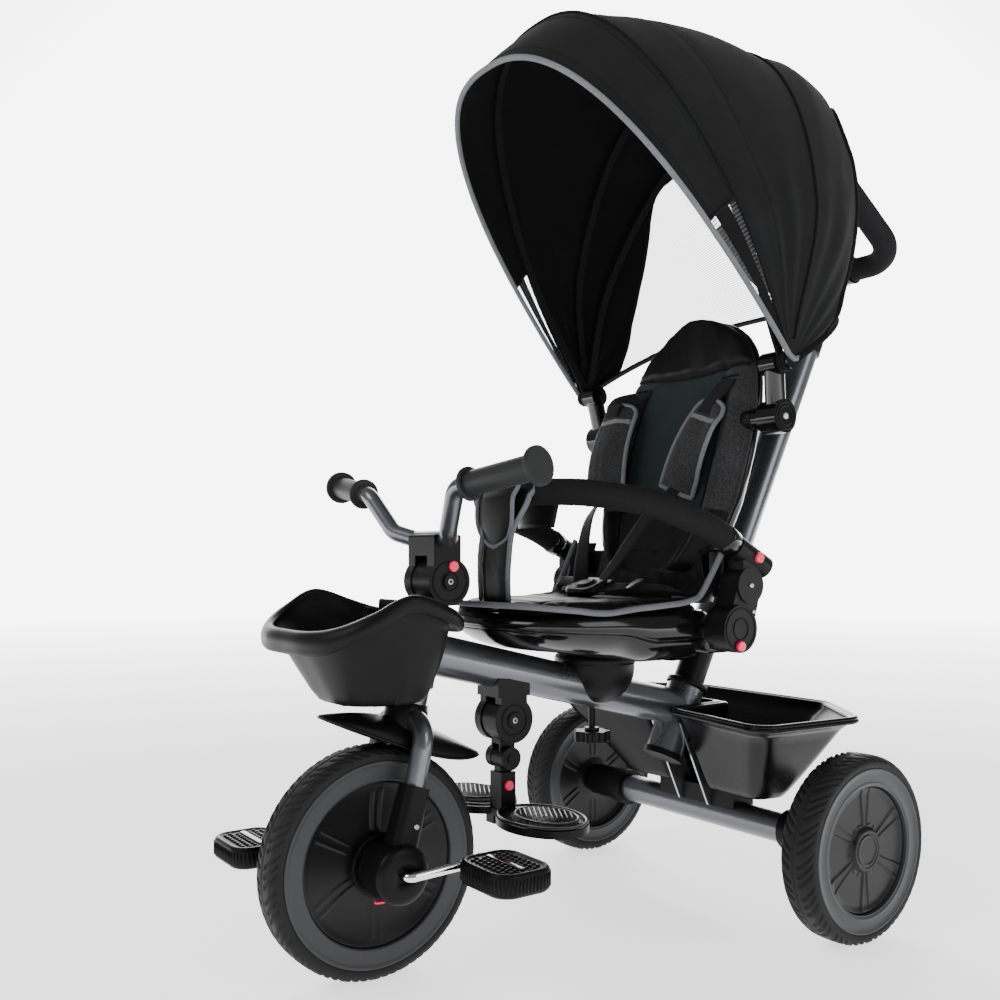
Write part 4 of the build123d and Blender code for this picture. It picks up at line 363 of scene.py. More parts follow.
# ------------------------------------------------------------------ meshes
def blend_by_angle(obj, a, b, low, high):
    """Bends obj between bodies a and b. The share follows the angle round the canopy's pivot line."""
    points = [v.co for v in obj.data.vertices]
    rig.blend(obj, a, b, start=canopy_point(low, 90), end=canopy_point(high, 90))
    shares = []
    for p in points:
        angle = degrees(atan2(p.z * 1000 - PIVOT_Z, PIVOT_Y - p.y * 1000))
        t = min(1.0, max(0.0, (angle - low) / (high - low)))
        shares.append(t * t * (3 - 2 * t))
    obj.data.attributes["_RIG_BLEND"].data.foreach_set("value", shares)


def piece(name, verts, faces, body, mat, slot=None, hides=(), uvs=None, zones=None):
    """A new mesh object from millimetre points, on its body. zones gives each face a material index."""
    mesh = bpy.data.meshes.new(name)
    mesh.from_pydata([tuple(c * MM for c in v) for v in verts], [], faces)
    mesh.update()
    for m in mat if isinstance(mat, (list, tuple)) else (mat,):
        mesh.materials.append(m)
    for i, poly in enumerate(mesh.polygons):
        poly.use_smooth = True
        if zones:
            poly.material_index = zones[i]
    if uvs:
        # points past the end of uvs are the middles of the end caps
        layer = mesh.uv_layers.new(name="UVMap")
        for loop in mesh.loops:
            u, v = uvs[loop.vertex_index] if loop.vertex_index < len(uvs) else (0, 0)
            layer.data[loop.index].uv = (u * MM, v * MM)
    obj = bpy.data.objects.new(name, mesh)
    bpy.context.scene.collection.objects.link(obj)
    if isinstance(body, str):
        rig.ride(obj, body)
    elif body:
        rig.blend(obj, body[0], body[1], start=body[2], end=body[3])
    if slot:
        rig.slot(obj, slot)
    if hides:
        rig.replaces(obj, *hides)
    return obj


def skin(rows, around=True, ends=True, loop_rows=False):
    """Quads over rows of points. around closes each row, ends caps the first and last rows."""
    count = len(rows[0])
    verts = [tuple(p) for row in rows for p in row]
    faces = []
    last = len(rows) if loop_rows else len(rows) - 1
    for i in range(last):
        j = (i + 1) % len(rows)
        for k in range(count if around else count - 1):
            m = (k + 1) % count
            faces.append((i * count + k, i * count + m, j * count + m, j * count + k))
    if ends and around and not loop_rows:
        for row, flip in ((0, True), (len(rows) - 1, False)):
            middle = len(verts)
            ring = [row * count + k for k in range(count)]
            verts.append(tuple(sum(verts[i][c] for i in ring) / count for c in range(3)))
            for k in range(count):
                a, b = ring[k], ring[(k + 1) % count]
                faces.append((b, a, middle) if flip else (a, b, middle))
    return verts, faces


def joined(parts):
    """Several (verts, faces) as one."""
    verts, faces = [], []
    for v, f in parts:
        base = len(verts)
        verts += list(v)
        faces += [tuple(i + base for i in face) for face in f]
    return verts, faces


def lathe(profile, centre, steps, sign=1.0):
    """Turns (along, radius) points about the crosswise axis through centre."""
    rows = []
    for i in range(steps):
        a = 2 * pi * i / steps
        rows.append([(centre[0] + sign * x, centre[1] + r * cos(a), centre[2] + r * sin(a))
                     for x, r in profile])
    return skin(rows, around=False, ends=False, loop_rows=True)


def turned(profile, start, direction, steps=48, caps=True):
    """Turns (along, radius) points about a line from start."""
    d = Vector(direction).normalized()
    side = d.orthogonal().normalized()
    other = d.cross(side)
    rows = []
    for along, r in profile:
        c = Vector(start) + d * along
        rows.append([c + side * (r * cos(2 * pi * k / steps)) + other * (r * sin(2 * pi * k / steps))
                     for k in range(steps)])
    return skin(rows, ends=caps)


def through(points, step=4.0, closed=False):
    """Smooth curve through the points, sampled about every step."""
    pts = [Vector(p) for p in points]
    n = len(pts)
    out = []
    for i in range(n if closed else n - 1):
        p1, p2 = pts[i], pts[(i + 1) % n]
        p0 = pts[i - 1] if i > 0 or closed else p1 * 2 - p2
        p3 = pts[(i + 2) % n] if i + 2 < n or closed else p2 * 2 - p1
        count = max(2, int((p2 - p1).length / step))
        for k in range(count):
            t = k / count
            out.append(0.5 * (2 * p1 + (p2 - p0) * t + (2 * p0 - 5 * p1 + 4 * p2 - p3) * t * t
                              + (3 * p1 - p0 - 3 * p2 + p3) * t ** 3))
    if not closed:
        out.append(pts[-1])
    return out


def tube(path, radius, sides=20, closed=False, rounded=0.0, flatten=None):
    """Round tube along a path. flatten gives (wide, thick) half sizes of an oval instead of a radius."""
    path = [Vector(p) for p in path]
    count = len(path)
    tangents = []
    for i in range(count):
        a = path[i - 1] if i or closed else path[0]
        b = path[(i + 1) % count] if i < count - 1 or closed else path[-1]
        tangents.append((b - a).normalized())
    normal = tangents[0].orthogonal()
    rows = []
    total = sum((path[i + 1] - path[i]).length for i in range(count - 1))
    run = 0.0
    for i, (p, t) in enumerate(zip(path, tangents)):
        if i:
            run += (path[i] - path[i - 1]).length
        normal = (normal - t * normal.dot(t)).normalized()
        side = t.cross(normal)
        wide, thick = flatten or (radius, radius)
        if rounded and not closed:
            edge = min(run, total - run)
            if edge < rounded:
                k = sqrt(max(0.0, 1 - (1 - edge / rounded) ** 2))
                wide, thick = wide - rounded * (1 - k), thick - rounded * (1 - k)
        rows.append([p + side * (wide * cos(2 * pi * k / sides))
                     + normal * (thick * sin(2 * pi * k / sides))
                     for k in range(sides)])
    return skin(rows, ends=not closed, loop_rows=closed)


def along(path, total, where):
    """Point this far along a path whose running lengths are total."""
    for i in range(1, len(path)):
        if total[i] >= where:
            span = total[i] - total[i - 1]
            return path[i - 1].lerp(path[i], (where - total[i - 1]) / span if span else 0.0)
    return path[-1]


def screw(centre, direction, radius, body, name):
    """Pan-head cross screw on a surface."""
    r = radius
    head = turned([(-1.0, r), (0.6, r), (1.4, r * 0.93), (1.9, r * 0.78), (2.2, r * 0.5), (2.2, r * 0.45),
                   (1.1, r * 0.36), (1.1, 0.2)], centre, direction, 24, caps=False)
    return piece(name, *head, body, zinc)


def smooth_step(x, low, high):
    t = min(1.0, max(0.0, (x - low) / (high - low)))
    return t * t * (3 - 2 * t)


def from_table(pairs, key):
    """Value for key between sorted (key, value) pairs, held level past both ends."""
    for (k0, v0), (k1, v1) in zip(pairs, pairs[1:]):
        if key <= k1:
            return v0 + (v1 - v0) * max(0.0, (key - k0) / (k1 - k0))
    return pairs[-1][1]


# ------------------------------------------------------------------ wheels
FRONT_R, REAR_R = 120.0, 106.0
FRONT_HUB = (0.0, -331.5, 120.0)
REAR_HUB = (234.0, 164.5, 106.0)
WHEEL_HALF = 22.0
GROOVE = 0.058  # share of one group of three that a groove takes up


def tyre(name, radius, centre, body, node):
    """Rubber tyre with slanted groups of fine grooves that run over both shoulders."""
    seat = radius - 13.8
    half = WHEEL_HALF
    section = []
    for k in range(15):
        a = pi / 2 * k / 14
        section.append((-half + 10 - 10 * cos(a), radius - 10 + 10 * sin(a)))
    section = [(-half + 1.2, seat), (-half + 0.3, seat + 0.8), (-half, seat + 2.0)] + section
    middle = [(-half + 10 + (2 * half - 20) * k / 12, radius) for k in range(1, 12)]
    section = section + middle + [(-x, r) for x, r in reversed(section)]
    run, lengths = 0.0, [0.0]
    for (x0, r0), (x1, r1) in zip(section, section[1:]):
        run += hypot(x1 - x0, r1 - r0)
        lengths.append(run)
    groups = 21 if radius > 110 else 18
    steps = 36 * groups
    rows = []
    for i in range(steps):
        turn = i / steps
        a = 2 * pi * turn
        row = []
        for (x, r), s in zip(section, lengths):
            w = s - run / 2
            edge = abs(w)
            # three grooves of a group fan out from the tread towards the side wall
            phase = turn * groups + (0.5 if w < 0 else 0.0) + (edge / 21.0) ** 1.6 * 0.45
            local = phase % 1.0
            depth = 0.0
            for place in (0.16, 0.44, 0.72):
                off = abs(local - place)
                depth = max(depth, 1.0 - smooth_step(off, GROOVE * 0.5, GROOVE * 1.3))
            depth *= smooth_step(edge, 4.0, 7.0) * (1.0 - smooth_step(edge, 21.5, 24.0))
            centre_line = 1.0 - smooth_step(abs(w), 0.7, 1.6)
            crown = 0.6 * (1.0 - (min(edge, 16.0) / 16.0) ** 2)
            deep = 1.9 * max(depth, 0.6 * centre_line)
            rr = r + crown - deep * smooth_step(r, seat + 3.0, seat + 6.0)
            xx = x * (1.0 - 0.02 * depth)
            row.append((centre[0] + xx, centre[1] + rr * cos(a), centre[2] + rr * sin(a)))
        rows.append(row)
    verts, faces = skin(rows, around=False, ends=False, loop_rows=True)
    lowest = min(v[2] for v in verts)
    verts = [(x, y, max(z, 0.0)) if lowest < 0 else (x, y, z) for x, y, z in verts]
    return piece(name, verts, faces, body, tyre_rubber, "tyre_rubber", hides=(node,))


def ring_face(name, radius, centre, side, body, bevel):
    """Grey ring between tyre and cover, with a rolled outer lip and, on rear wheels, a bright inner bevel."""
    seat = radius - 13.9
    inner = seat - 20.0
    if bevel:
        profile = [(15.0, inner - 0.3), (19.4, inner - 0.2), (20.9, inner + 3.2), (21.1, inner + 4.2),
                   (20.5, inner + 5.4), (20.6, seat - 7.0), (21.6, seat - 3.0), (22.4, seat - 1.2),
                   (22.2, seat + 0.4), (20.5, seat + 0.4)]
    else:
        profile = [(15.0, inner - 0.3), (19.6, inner - 0.3), (20.6, inner + 0.6), (20.9, inner + 1.8),
                   (21.2, seat - 5.0), (21.9, seat - 3.2), (22.4, seat - 1.4), (22.2, seat + 0.4),
                   (20.5, seat + 0.4)]
    profile = rounded_line(profile, 0.5)
    body_part = lathe(profile, centre, 160, sign=side)
    return piece(name, *body_part, body, grey_ring, "wheel_grey")


def rounded_line(points, cut):
    """Cuts each inner corner of a 2D polyline."""
    out = [points[0]]
    for a, b, c in zip(points, points[1:], points[2:]):
        for target in (a, c):
            length = hypot(target[0] - b[0], target[1] - b[1])
            k = min(0.4, cut / length if length else 0)
            out.append((b[0] + (target[0] - b[0]) * k, b[1] + (target[1] - b[1]) * k))
    return out + [points[-1]]


def rear_relief(r, off, edge):
    """Height of a rear cover: a cap, and six spokes that are each a pair of thin ridges joined in a U."""
    share = r / edge
    across = r * abs(sin(off))
    depth = 5.0 * smooth_step(r, 22.0, 27.0) * (1 - 0.55 * smooth_step(share, 0.86, 1.0))
    # the ridges spread a little towards the edge and join near the cap
    spread = 3.4 + 3.6 * smooth_step(r, 26.0, edge)
    hollow = 1.0 - smooth_step(across, spread - 1.6, spread - 0.3)
    ridge = exp(-((across - spread) / 1.05) ** 2)
    reach = smooth_step(r, 24.0, 28.0) * (1 - smooth_step(share, 0.93, 0.985))
    depth -= (1.9 * ridge + 0.5 * hollow) * reach
    loop = exp(-((r - 27.0 - across * 0.15) / 1.2) ** 2)
    loop *= (1 - smooth_step(abs(off), 0.42, 0.50)) * smooth_step(abs(off), 0.16, 0.24)
    depth -= 1.3 * loop
    depth += 1.3 * exp(-((r - 18.6) / 0.9) ** 2) - 0.7 * exp(-((r - 16.6) / 1.0) ** 2)
    if r < 15.0:
        depth += 0.5
    return 18.6 - depth


def front_relief(r, off, edge):
    """Height of a front cover: a deep bowl with faint paired ribs, raised towards the hub."""
    bowl = 9.5 * (1 - ((r - 44.0) / 45.0) ** 2) if r > 26 else 9.5 * (1 - (18.0 / 45.0) ** 2)
    depth = max(0.0, bowl) * (1 - 0.3 * smooth_step(r / edge, 0.9, 1.0))
    ridge = exp(-((r * abs(sin(off)) - 3.0 - 0.03 * r) / 1.5) ** 2)
    reach = smooth_step(r, 30.0, 38.0) * (1 - smooth_step(r / edge, 0.84, 0.94))
    depth -= 1.4 * ridge * reach
    depth -= 2.5 * (1 - smooth_step(r, 17.0, 31.0))
    return 18.4 - depth


def cover_disc(name, radius, centre, side, body, style, hides=()):
    """Dished cover as a polar height field: rear has a cap and U ribs, front a deep bowl and faint ribs."""
    edge = radius - 13.9 - 20.3
    steps, rings = 360, 54
    start = 15.9 if style == "front" else 0.0
    sixth = pi / 3
    rows = []
    for i in range(steps):
        a = 2 * pi * i / steps
        row = []
        for k in range(rings + 1):
            r = start + (edge - start) * k / rings
            off = ((a + sixth / 2) % sixth) - sixth / 2
            z = rear_relief(r, off, edge) if style == "rear" else front_relief(r, off, edge)
            if k == rings:
                z -= 2.5
            row.append((centre[0] + side * z, centre[1] + r * sin(a), centre[2] + r * cos(a)))
        rows.append(row)
    if side < 0:
        rows.reverse()
    return piece(name, *skin(rows, around=False, ends=False, loop_rows=True), body, cover_black,
                 "gloss_black", hides=hides)


tyre("tyre_front", FRONT_R, FRONT_HUB, "front_wheel", "front_tyre")
for side, tag in SIDES:
    ring_face(f"ring_front_{tag}", FRONT_R, FRONT_HUB, side, "front_wheel", False)
    cover_disc(f"cover_front_{tag}", FRONT_R, FRONT_HUB, side, "front_wheel", "front",
               hides=("front_covers",) if side > 0 else ())
    # ringed sleeve round the hub, between the cover and the leg
    if side < 0:
        sleeve = [(15.0, 20.0), (17.5, 22.0), (19.0, 19.5), (20.5, 21.0), (22.0, 18.8), (23.5, 20.2),
                  (25.0, 18.2), (26.5, 19.4), (28.0, 17.8), (30.4, 17.5), (30.4, 15.6)]
        piece("hub_bellows_right", *lathe(rounded_line(sleeve, 0.5), FRONT_HUB, 72, sign=side),
              "front_wheel", satin)
    hub = (side * REAR_HUB[0], *REAR_HUB[1:])
    body = f"rear_wheel_{tag}"
    tyre(f"tyre_rear_{tag}", REAR_R, hub, body, f"rear_tyre_{tag}")
    for face, word in ((side, "outer"), (-side, "inner")):
        ring_face(f"ring_rear_{tag}_{word}", REAR_R, hub, face, body, True)
        cover_disc(f"cover_rear_{tag}_{word}", REAR_R, hub, face, body,
                   "rear" if word == "outer" else "front",
                   hides=(f"rear_covers_{tag}",) if word == "outer" else ())


# ------------------------------------------------------------------ baskets
def poly_loop(corners, radii, seg=7, arc=8):
    """Closed polygon with rounded corners, always with the same number of points."""
    out = []
    n = len(corners)
    for i in range(n):
        a, b, c = (Vector((*corners[(i + d) % n][:2], 0)) for d in (-1, 0, 1))
        u, v = (a - b).normalized(), (c - b).normalized()
        angle = u.angle(v)
        turn = pi - angle
        cut = min(radii[i] * sin(turn / 2) / cos(turn / 2), 0.48 * min((a - b).length, (c - b).length))
        r = cut * cos(turn / 2) / sin(turn / 2)
        start, end = b + u * cut, b + v * cut
        centre = b + (u + v).normalized() * (r / sin(angle / 2))
        if out:
            last = out[-1]
            out += [last.lerp(start, (k + 1) / seg) for k in range(seg - 1)]
        p, q = start - centre, end - centre
        out += [centre + (sin((1 - k / arc) * turn) * p + sin(k / arc * turn) * q) / sin(turn)
                for k in range(arc + 1)]
    out += [out[-1].lerp(out[0], (k + 1) / seg) for k in range(seg - 1)]
    return out


def even_loop(points, count):
    """Closed loop resampled to evenly spaced points."""
    pts = [Vector(p) for p in points]
    pts.append(pts[0])
    total = [0.0]
    for a, b in zip(pts, pts[1:]):
        total.append(total[-1] + (b - a).length)
    return [along(pts, total, total[-1] * k / count) for k in range(count)]


def front_outline(rise, grow):
    half = 64.0 + 44.0 * rise + grow
    front = -384.0 - 40.0 * rise - grow
    rear = -291.0 + 10.0 * rise + grow
    right = [(0.45 * half, rear), (0.86 * half, rear - 7), (half, rear - 42), (0.95 * half, front + 46),
             (0.74 * half, front + 15), (0.40 * half, front + 2)]
    knots = [(0, rear)] + right + [(0, front)] + [(-x, y) for x, y in reversed(right)]
    loop = even_loop(through([(x, y, 0) for x, y in knots], 3.0, closed=True), 180)
    out = []
    for p in loop:
        y = p.y
        if y > -330:
            stop = -311.0 + grow * 0.3
            pull = 1.0 - smooth_step(abs(p.x), 19.0, 33.0)
            y = min(y, y + (stop - y) * pull) if y > stop else y
        out.append((p.x, y))
    return out


RIM_KNOTS = ((-446, 362), (-420, 366), (-385, 383), (-345, 401), (-300, 388), (-262, 370))
RIM_LINE = [(p.x, p.y) for p in through([(y, z, 0) for y, z in RIM_KNOTS], 2.0)]


def rim_height(y):
    return from_table(RIM_LINE, y)


def front_basket():
    rows = []
    floor = 287.0

    def row(rise, grow, z_of):
        rows.append([(x, y, z_of(y)) for x, y in front_outline(rise, grow)])

    def level(rise, grow, drop):
        """Row at this share of the wall, drop below the rim once it is near the top."""
        def z_of(y):
            return min(floor + 3 + rise * (rim_height(y) - floor - 3), rim_height(y)) - drop
        row(rise, grow, z_of)

    for rise, grow, z in ((0.0, -44, floor), (0.0, -20, floor), (0.0, -8, floor + 0.6),
                          (0.0, -2.5, floor + 3.0), (0.02, 0.4, floor + 8.0)):
        row(rise, grow, lambda y, z=z: z)
    for k in range(1, 12):
        share = k / 12
        level(0.04 + 0.86 * share, 2.6 * sin(pi * share), 0.0)
    for grow, drop in ((0.6, 15.5), (3.2, 16.6), (6.2, 16.2), (7.8, 13.8), (8.6, 10.0), (8.4, 6.0),
                       (7.2, 2.4), (5.0, 0.2), (2.2, -0.8), (-0.6, -0.3), (-2.6, 1.6), (-3.2, 5.0),
                       (-3.2, 12.0)):
        rows.append([(x, y, rim_height(y) - drop * (1.0 + 0.35 * smooth_step(-y, 395, 430)))
                     for x, y in front_outline(0.985, grow)])
    for k in range(10, -1, -1):
        share = k / 12
        level(0.05 + 0.86 * share, 2.6 * sin(pi * share) - 3.2, 0.0)
    for rise, grow, z in ((0.0, -6.0, floor + 5.0), (0.0, -12, floor + 3.4), (0.0, -24, floor + 3.0),
                          (0.0, -44, floor + 3.0)):
        row(rise, grow, lambda y, z=z: z)
    piece("basket_front", *skin(rows), "frame", satin, "black_plastic", hides=("front_basket",))
    # moulded bracket from the basket's back to the head tube
    for z in (306.0, 352.0):
        y = -286.5 + 0.2267 / 0.974 * (z - 281.0)
        loop = turned([(-7, 22.0), (-6, 23.4), (6, 23.4), (7, 22.0)], (0, y, z), HEAD_AXIS, 40)
        piece(f"basket_clip_{int(z)}", *loop, "frame", satin)


def rear_outline(rise, grow):
    low = ((30.0, 138.0), (116.0, 134.0), (126.0, 184.0), (72.0, 204.0))
    high = ((30.0, 84.0), (190.0, 56.0), (206.0, 204.0), (108.0, 278.0))
    p = []
    for (xl, yl), (xh, yh) in zip(low, high):
        p.append((xl + (xh - xl) * rise, yl + (yh - yl) * rise))
    (nx, ny), (fx, fy), (sx, sy), (bx, by) = p
    g = grow
    right = [(nx - g, 177.0 - g), (nx - g, ny - g), (fx + g, fy - g), (sx + g, sy + g * 0.6),
             (bx + g * 0.4, by + g)]
    corners = right + [(-x, y) for x, y in reversed(right)]
    radii = [6 + max(0, g), 9 + max(0, g), 20 + g, 24 + g, 30 + g]
    return poly_loop(corners, radii + radii[::-1])


def rear_basket():
    floor, top = 139.0, 247.0
    rows = []

    def row(rise, grow, z):
        rows.append([(p.x, p.y, z) for p in rear_outline(rise, grow)])

    row(0.0, -20, floor)
    row(0.0, -6, floor)
    row(0.0, -1.6, floor + 0.8)
    row(0.02, 0.0, floor + 3.0)
    for k in range(1, 9):
        row(k / 9 * 0.94, 0.0, floor + k / 9 * 0.94 * (top - floor))
    for grow, drop in ((0.2, 7.0), (1.4, 7.6), (4.0, 7.6), (7.4, 7.4), (9.2, 6.2), (9.8, 4.4), (9.0, 3.0),
                       (8.0, 2.6), (8.4, 1.6), (8.2, 0.2), (7.0, -1.2), (5.2, -1.6), (3.4, -1.2),
                       (2.4, -0.3), (1.2, 0.1), (-1.0, -0.2), (-2.4, 0.8), (-3.0, 2.6), (-3.0, 7.0)):
        row(0.985, grow, top - drop)
    for k in range(8, 0, -1):
        row(k / 9 * 0.94, -3.0, floor + 3.0 + k / 9 * 0.91 * (top - floor))
    row(0.02, -3.2, floor + 6.0)
    row(0.0, -5.5, floor + 3.6)
    row(0.0, -10, floor + 3.0)
    row(0.0, -22, floor + 3.0)
    verts, faces = skin(rows, ends=False)
    obj = piece("basket_rear", verts, faces, "frame", basket_black, "gloss_black", hides=("rear_basket",))
    # flat floors, inside and out
    count = len(rows[0])
    mesh = bmesh.new()
    mesh.from_mesh(obj.data)
    mesh.verts.ensure_lookup_table()
    for start in (0, (len(rows) - 1) * count):
        ring = [mesh.verts[start + k] for k in range(count)]
        edges = [mesh.edges.get((ring[k], ring[(k + 1) % count])) for k in range(count)]
        bmesh.ops.triangle_fill(mesh, edges=edges, use_beauty=True)
    bmesh.ops.recalc_face_normals(mesh, faces=mesh.faces)
    mesh.to_mesh(obj.data)
    mesh.free()
    obj.data.update()


front_basket()
rear_basket()


# ------------------------------------------------------------------ canopy
PIVOT_Y, PIVOT_Z = 113.5, 664.0
HOOD = ((48, 186, 443), (60, 200, 458), (66, 208, 446), (73, 214, 439), (84, 221, 429), (94, 225, 420),
        (101, 222.5, 434), (109, 220.5, 437), (115, 218, 423), (121, 213.5, 391), (128, 207, 340),
        (134, 202, 296), (141, 196.5, 248), (148.5, 191, 199))
FOOT = 8.0
MM_PER_DEGREE = 7.0  # scale of the cloth's weave on the hood
# angles round the pivot line of the visor's edge, the bows and the hem
VISOR_EDGE, FRONT_BOW, MID_BOW, REAR_BOW, HEM = 48.0, 60.0, 94.0, 109.0, 148.5


def hood_size(angle):
    angle = min(148.5, max(48.0, angle))
    for (a0, h0, r0), (a1, h1, r1) in zip(HOOD, HOOD[1:]):
        if angle <= a1:
            t = (angle - a0) / (a1 - a0)
            return h0 + (h1 - h0) * t, r0 + (r1 - r0) * t


def sag(angle, t_deg):
    """Small inward pull of the cloth between bows, and loose folds low on the sides."""
    up = sin(radians(t_deg))
    low = 1.0 - smooth_step(up, 0.12, 0.55)
    side = 1.0 if t_deg < 90 else -1.0
    waves = 0.0
    if 61 < angle < 93:
        span = (angle - 60) / 34
        edge = sin(pi * span)
        waves += 3.0 * edge * low * sin(angle * 0.62 + side * 0.6 + up * 2.0)
        seam = exp(-((angle - 72.0) / 0.8) ** 2)
        waves -= 1.2 * seam + 1.6 * edge * (1 - low)
        waves += 2.4 * edge * noise.noise(Vector((angle * 0.09, t_deg * 0.035, side * 3.0)))
    elif 94.5 < angle < 148:
        edge = min(1.0, (angle - 94.0) / 8.0) * min(1.0, (148.5 - angle) / 6.0)
        waves += 3.0 * edge * noise.noise(Vector((angle * 0.07, t_deg * 0.03, 7.0 + side)))
        waves += 2.6 * edge * low * sin(angle * 0.45 + up * 3.0)
    elif 49 < angle < 59.5:
        waves += 1.3 * sin(pi * (angle - 48) / 12) * noise.noise(Vector((angle * 0.15, t_deg * 0.03, 3.0)))
    return waves


def canopy_mm(angle, t_deg, lift=0.0):
    """Point on the hood: angle round the pivot line, t from the left foot (0) over the top to 180."""
    half, reach = hood_size(angle)
    pull = lift + sag(angle, t_deg)
    half, reach = half + pull, reach + pull
    t = radians(t_deg)
    s, c = sin(t), cos(t)
    up = FOOT + (reach - FOOT) * max(0.0, s) ** 0.8
    share = min(1.0, up / (0.45 * reach))
    share = share * share * (3 - 2 * share)
    base = 189.0 + lift
    sign = 1.0 if c >= 0 else -1.0
    wide = half * abs(c) ** 0.8 - (half - base) * (1.0 - share)
    if abs(c) < 1e-6:
        wide = 0.0
    a = radians(angle)
    return Vector((sign * wide, PIVOT_Y - cos(a) * up, PIVOT_Z + sin(a) * up))


def canopy_point(angle, t_deg):
    return tuple(canopy_mm(angle, t_deg) * MM)


def arc_columns(t_from, t_to, count):
    """Evenly spaced places along the arch."""
    return [t_from + (t_to - t_from) * k / (count - 1) for k in range(count)]


def hood_panel(name, columns, low_of, high_of, rows, body, mat, lift, **more):
    """Sheet between two angle limits, which may change along the arch."""
    grid, uvs = [], []
    for i in range(rows + 1):
        line = []
        for t in columns:
            low, high = low_of(t), high_of(t)
            angle = low + (high - low) * i / rows
            line.append(canopy_mm(angle, t, lift))
            uvs.append((t * MM_PER_DEGREE, angle * MM_PER_DEGREE))
        grid.append(line)
    verts, faces = skin(grid, around=False, ends=False)
    return piece(name, verts, faces, body, mat, uvs=uvs, **more)


def hood_tube(name, points, radius, body, mat, flatten=None, sides=10):
    pts = [Vector(p) for p in points]
    return piece(name, *tube(pts, radius, sides=sides, flatten=flatten), body, mat)


def stitches(name, points, normals, body, mat):
    """Row of short thread stitches along a line of points."""
    length, gap, radius = 3.4, 1.6, 0.42
    parts = []
    total = [0.0]
    for a, b in zip(points, points[1:]):
        total.append(total[-1] + (b - a).length)
    s = gap
    while s + length < total[-1]:
        a, b = along(points, total, s), along(points, total, s + length)
        m = along(points, total, s + length / 2)
        i = min(range(len(total)), key=lambda k: abs(total[k] - s))
        n = normals[i].normalized()
        path = [a - n * 0.3, a.lerp(m, 0.4) + n * 0.35, m + n * 0.45, b.lerp(m, 0.4) + n * 0.35,
                b - n * 0.3]
        parts.append(tube(path, radius, sides=5))
        s += length + gap
    return piece(name, *joined(parts), body, mat)


def outward(angle, t_deg):
    """Rough outward direction of the hood at this place."""
    p = canopy_mm(angle, t_deg, 0.0)
    q = canopy_mm(angle, t_deg, 3.0)
    return q - p


VISOR_END = 19.5
FULL = arc_columns(0.0, 180.0, 145)
VISOR = arc_columns(VISOR_END, 180.0 - VISOR_END, 121)


def window_edge(t):
    """Angle where the rear net window starts, for each place along the arch."""
    s = min(t, 180.0 - t)
    knots = ((0, 148.5), (14.0, 148.5), (16.0, 145.0), (22.0, 129.5), (28.0, 122.5), (34.0, 118.0),
             (40.0, 113.6), (44.0, 111.6), (48.0, 110.8), (56.0, 112.4), (70.0, 117.6), (90.0, 121.4))
    return from_table(knots, s)


def steady(angle):
    return lambda t: angle


def lined(name, columns, low_of, high_of, rows, lining_rows, body, node):
    """A panel of the canopy's outer cloth and its lining, a little inside it."""
    outer = hood_panel(name, columns, low_of, high_of, rows, body, canopy_cloth, 0.0, hides=(node,),
                       slot="melange_fabric")
    lining = hood_panel(f"{name}_lining", columns, low_of, high_of, lining_rows, body, lining_cloth, -1.4)
    return outer, lining


visor, visor_lining = lined("canopy_visor", VISOR, steady(VISOR_EDGE), steady(FRONT_BOW), 10, 8,
                            "canopy_front_set", "canopy_front")
mid, mid_lining = lined("canopy_middle", FULL, steady(FRONT_BOW), steady(MID_BOW), 26, 18,
                        None, "canopy_mid")
rear, rear_lining = lined("canopy_hood", FULL, steady(MID_BOW), window_edge, 34, 24, None, "canopy_rear")
WINDOW = arc_columns(14.5, 165.5, 97)
window = hood_panel("canopy_rear_window", WINDOW, window_edge, steady(HEM), 16, None, window_net, -0.6)
for sheet in (mid, mid_lining):
    blend_by_angle(sheet, "canopy_front_set", "canopy_mid_set", FRONT_BOW, MID_BOW)
for sheet in (rear, rear_lining, window):
    blend_by_angle(sheet, "canopy_mid_set", "backrest", MID_BOW, REAR_BOW)

visor_parts, mid_parts, rear_parts = [visor_lining], [mid_lining], [rear_lining, window]

# grey piping all along the front edge, from foot to foot
edge_line = [canopy_mm(47.6, t, 0.6) for t in arc_columns(0.0, 180.0, 181)]
first, last = edge_line[0], edge_line[-1]
edge_line = ([Vector((first.x, first.y + 16, first.z - 1.5)), Vector((first.x, first.y + 8, first.z - 4))]
             + edge_line
             + [Vector((last.x, last.y + 8, last.z - 4)), Vector((last.x, last.y + 16, last.z - 1.5))])
visor_parts.append(hood_tube("piping_front", edge_line, 3.3, "canopy_front_set", grey_binding, sides=14))
# seams at the bows, raised where the cloth wraps them
for angle, group, r, body, name in (
        (FRONT_BOW, visor_parts, 1.7, "canopy_front_set", "seam_front_bow"),
        (MID_BOW, mid_parts, 2.1, "canopy_mid_set", "ridge_mid_bow")):
    line = [canopy_mm(angle, t, 0.9) for t in arc_columns(1.0, 179.0, 169)]
    group.append(hood_tube(name, line, r, body, dark_binding))
# hem below the rear window and bindings round the window
hem = [canopy_mm(HEM, t, 0.0) for t in arc_columns(0.0, 180.0, 161)]
rear_parts.append(hood_tube("binding_hem", hem, 2.6, "backrest", dark_binding, flatten=(7.0, 2.4)))
window_line = [canopy_mm(window_edge(t), t, 0.4) for t in arc_columns(14.6, 165.4, 151)]
rear_parts.append(hood_tube("binding_window", window_line, 2.6, "backrest", dark_binding,
                            flatten=(3.4, 3.4)))
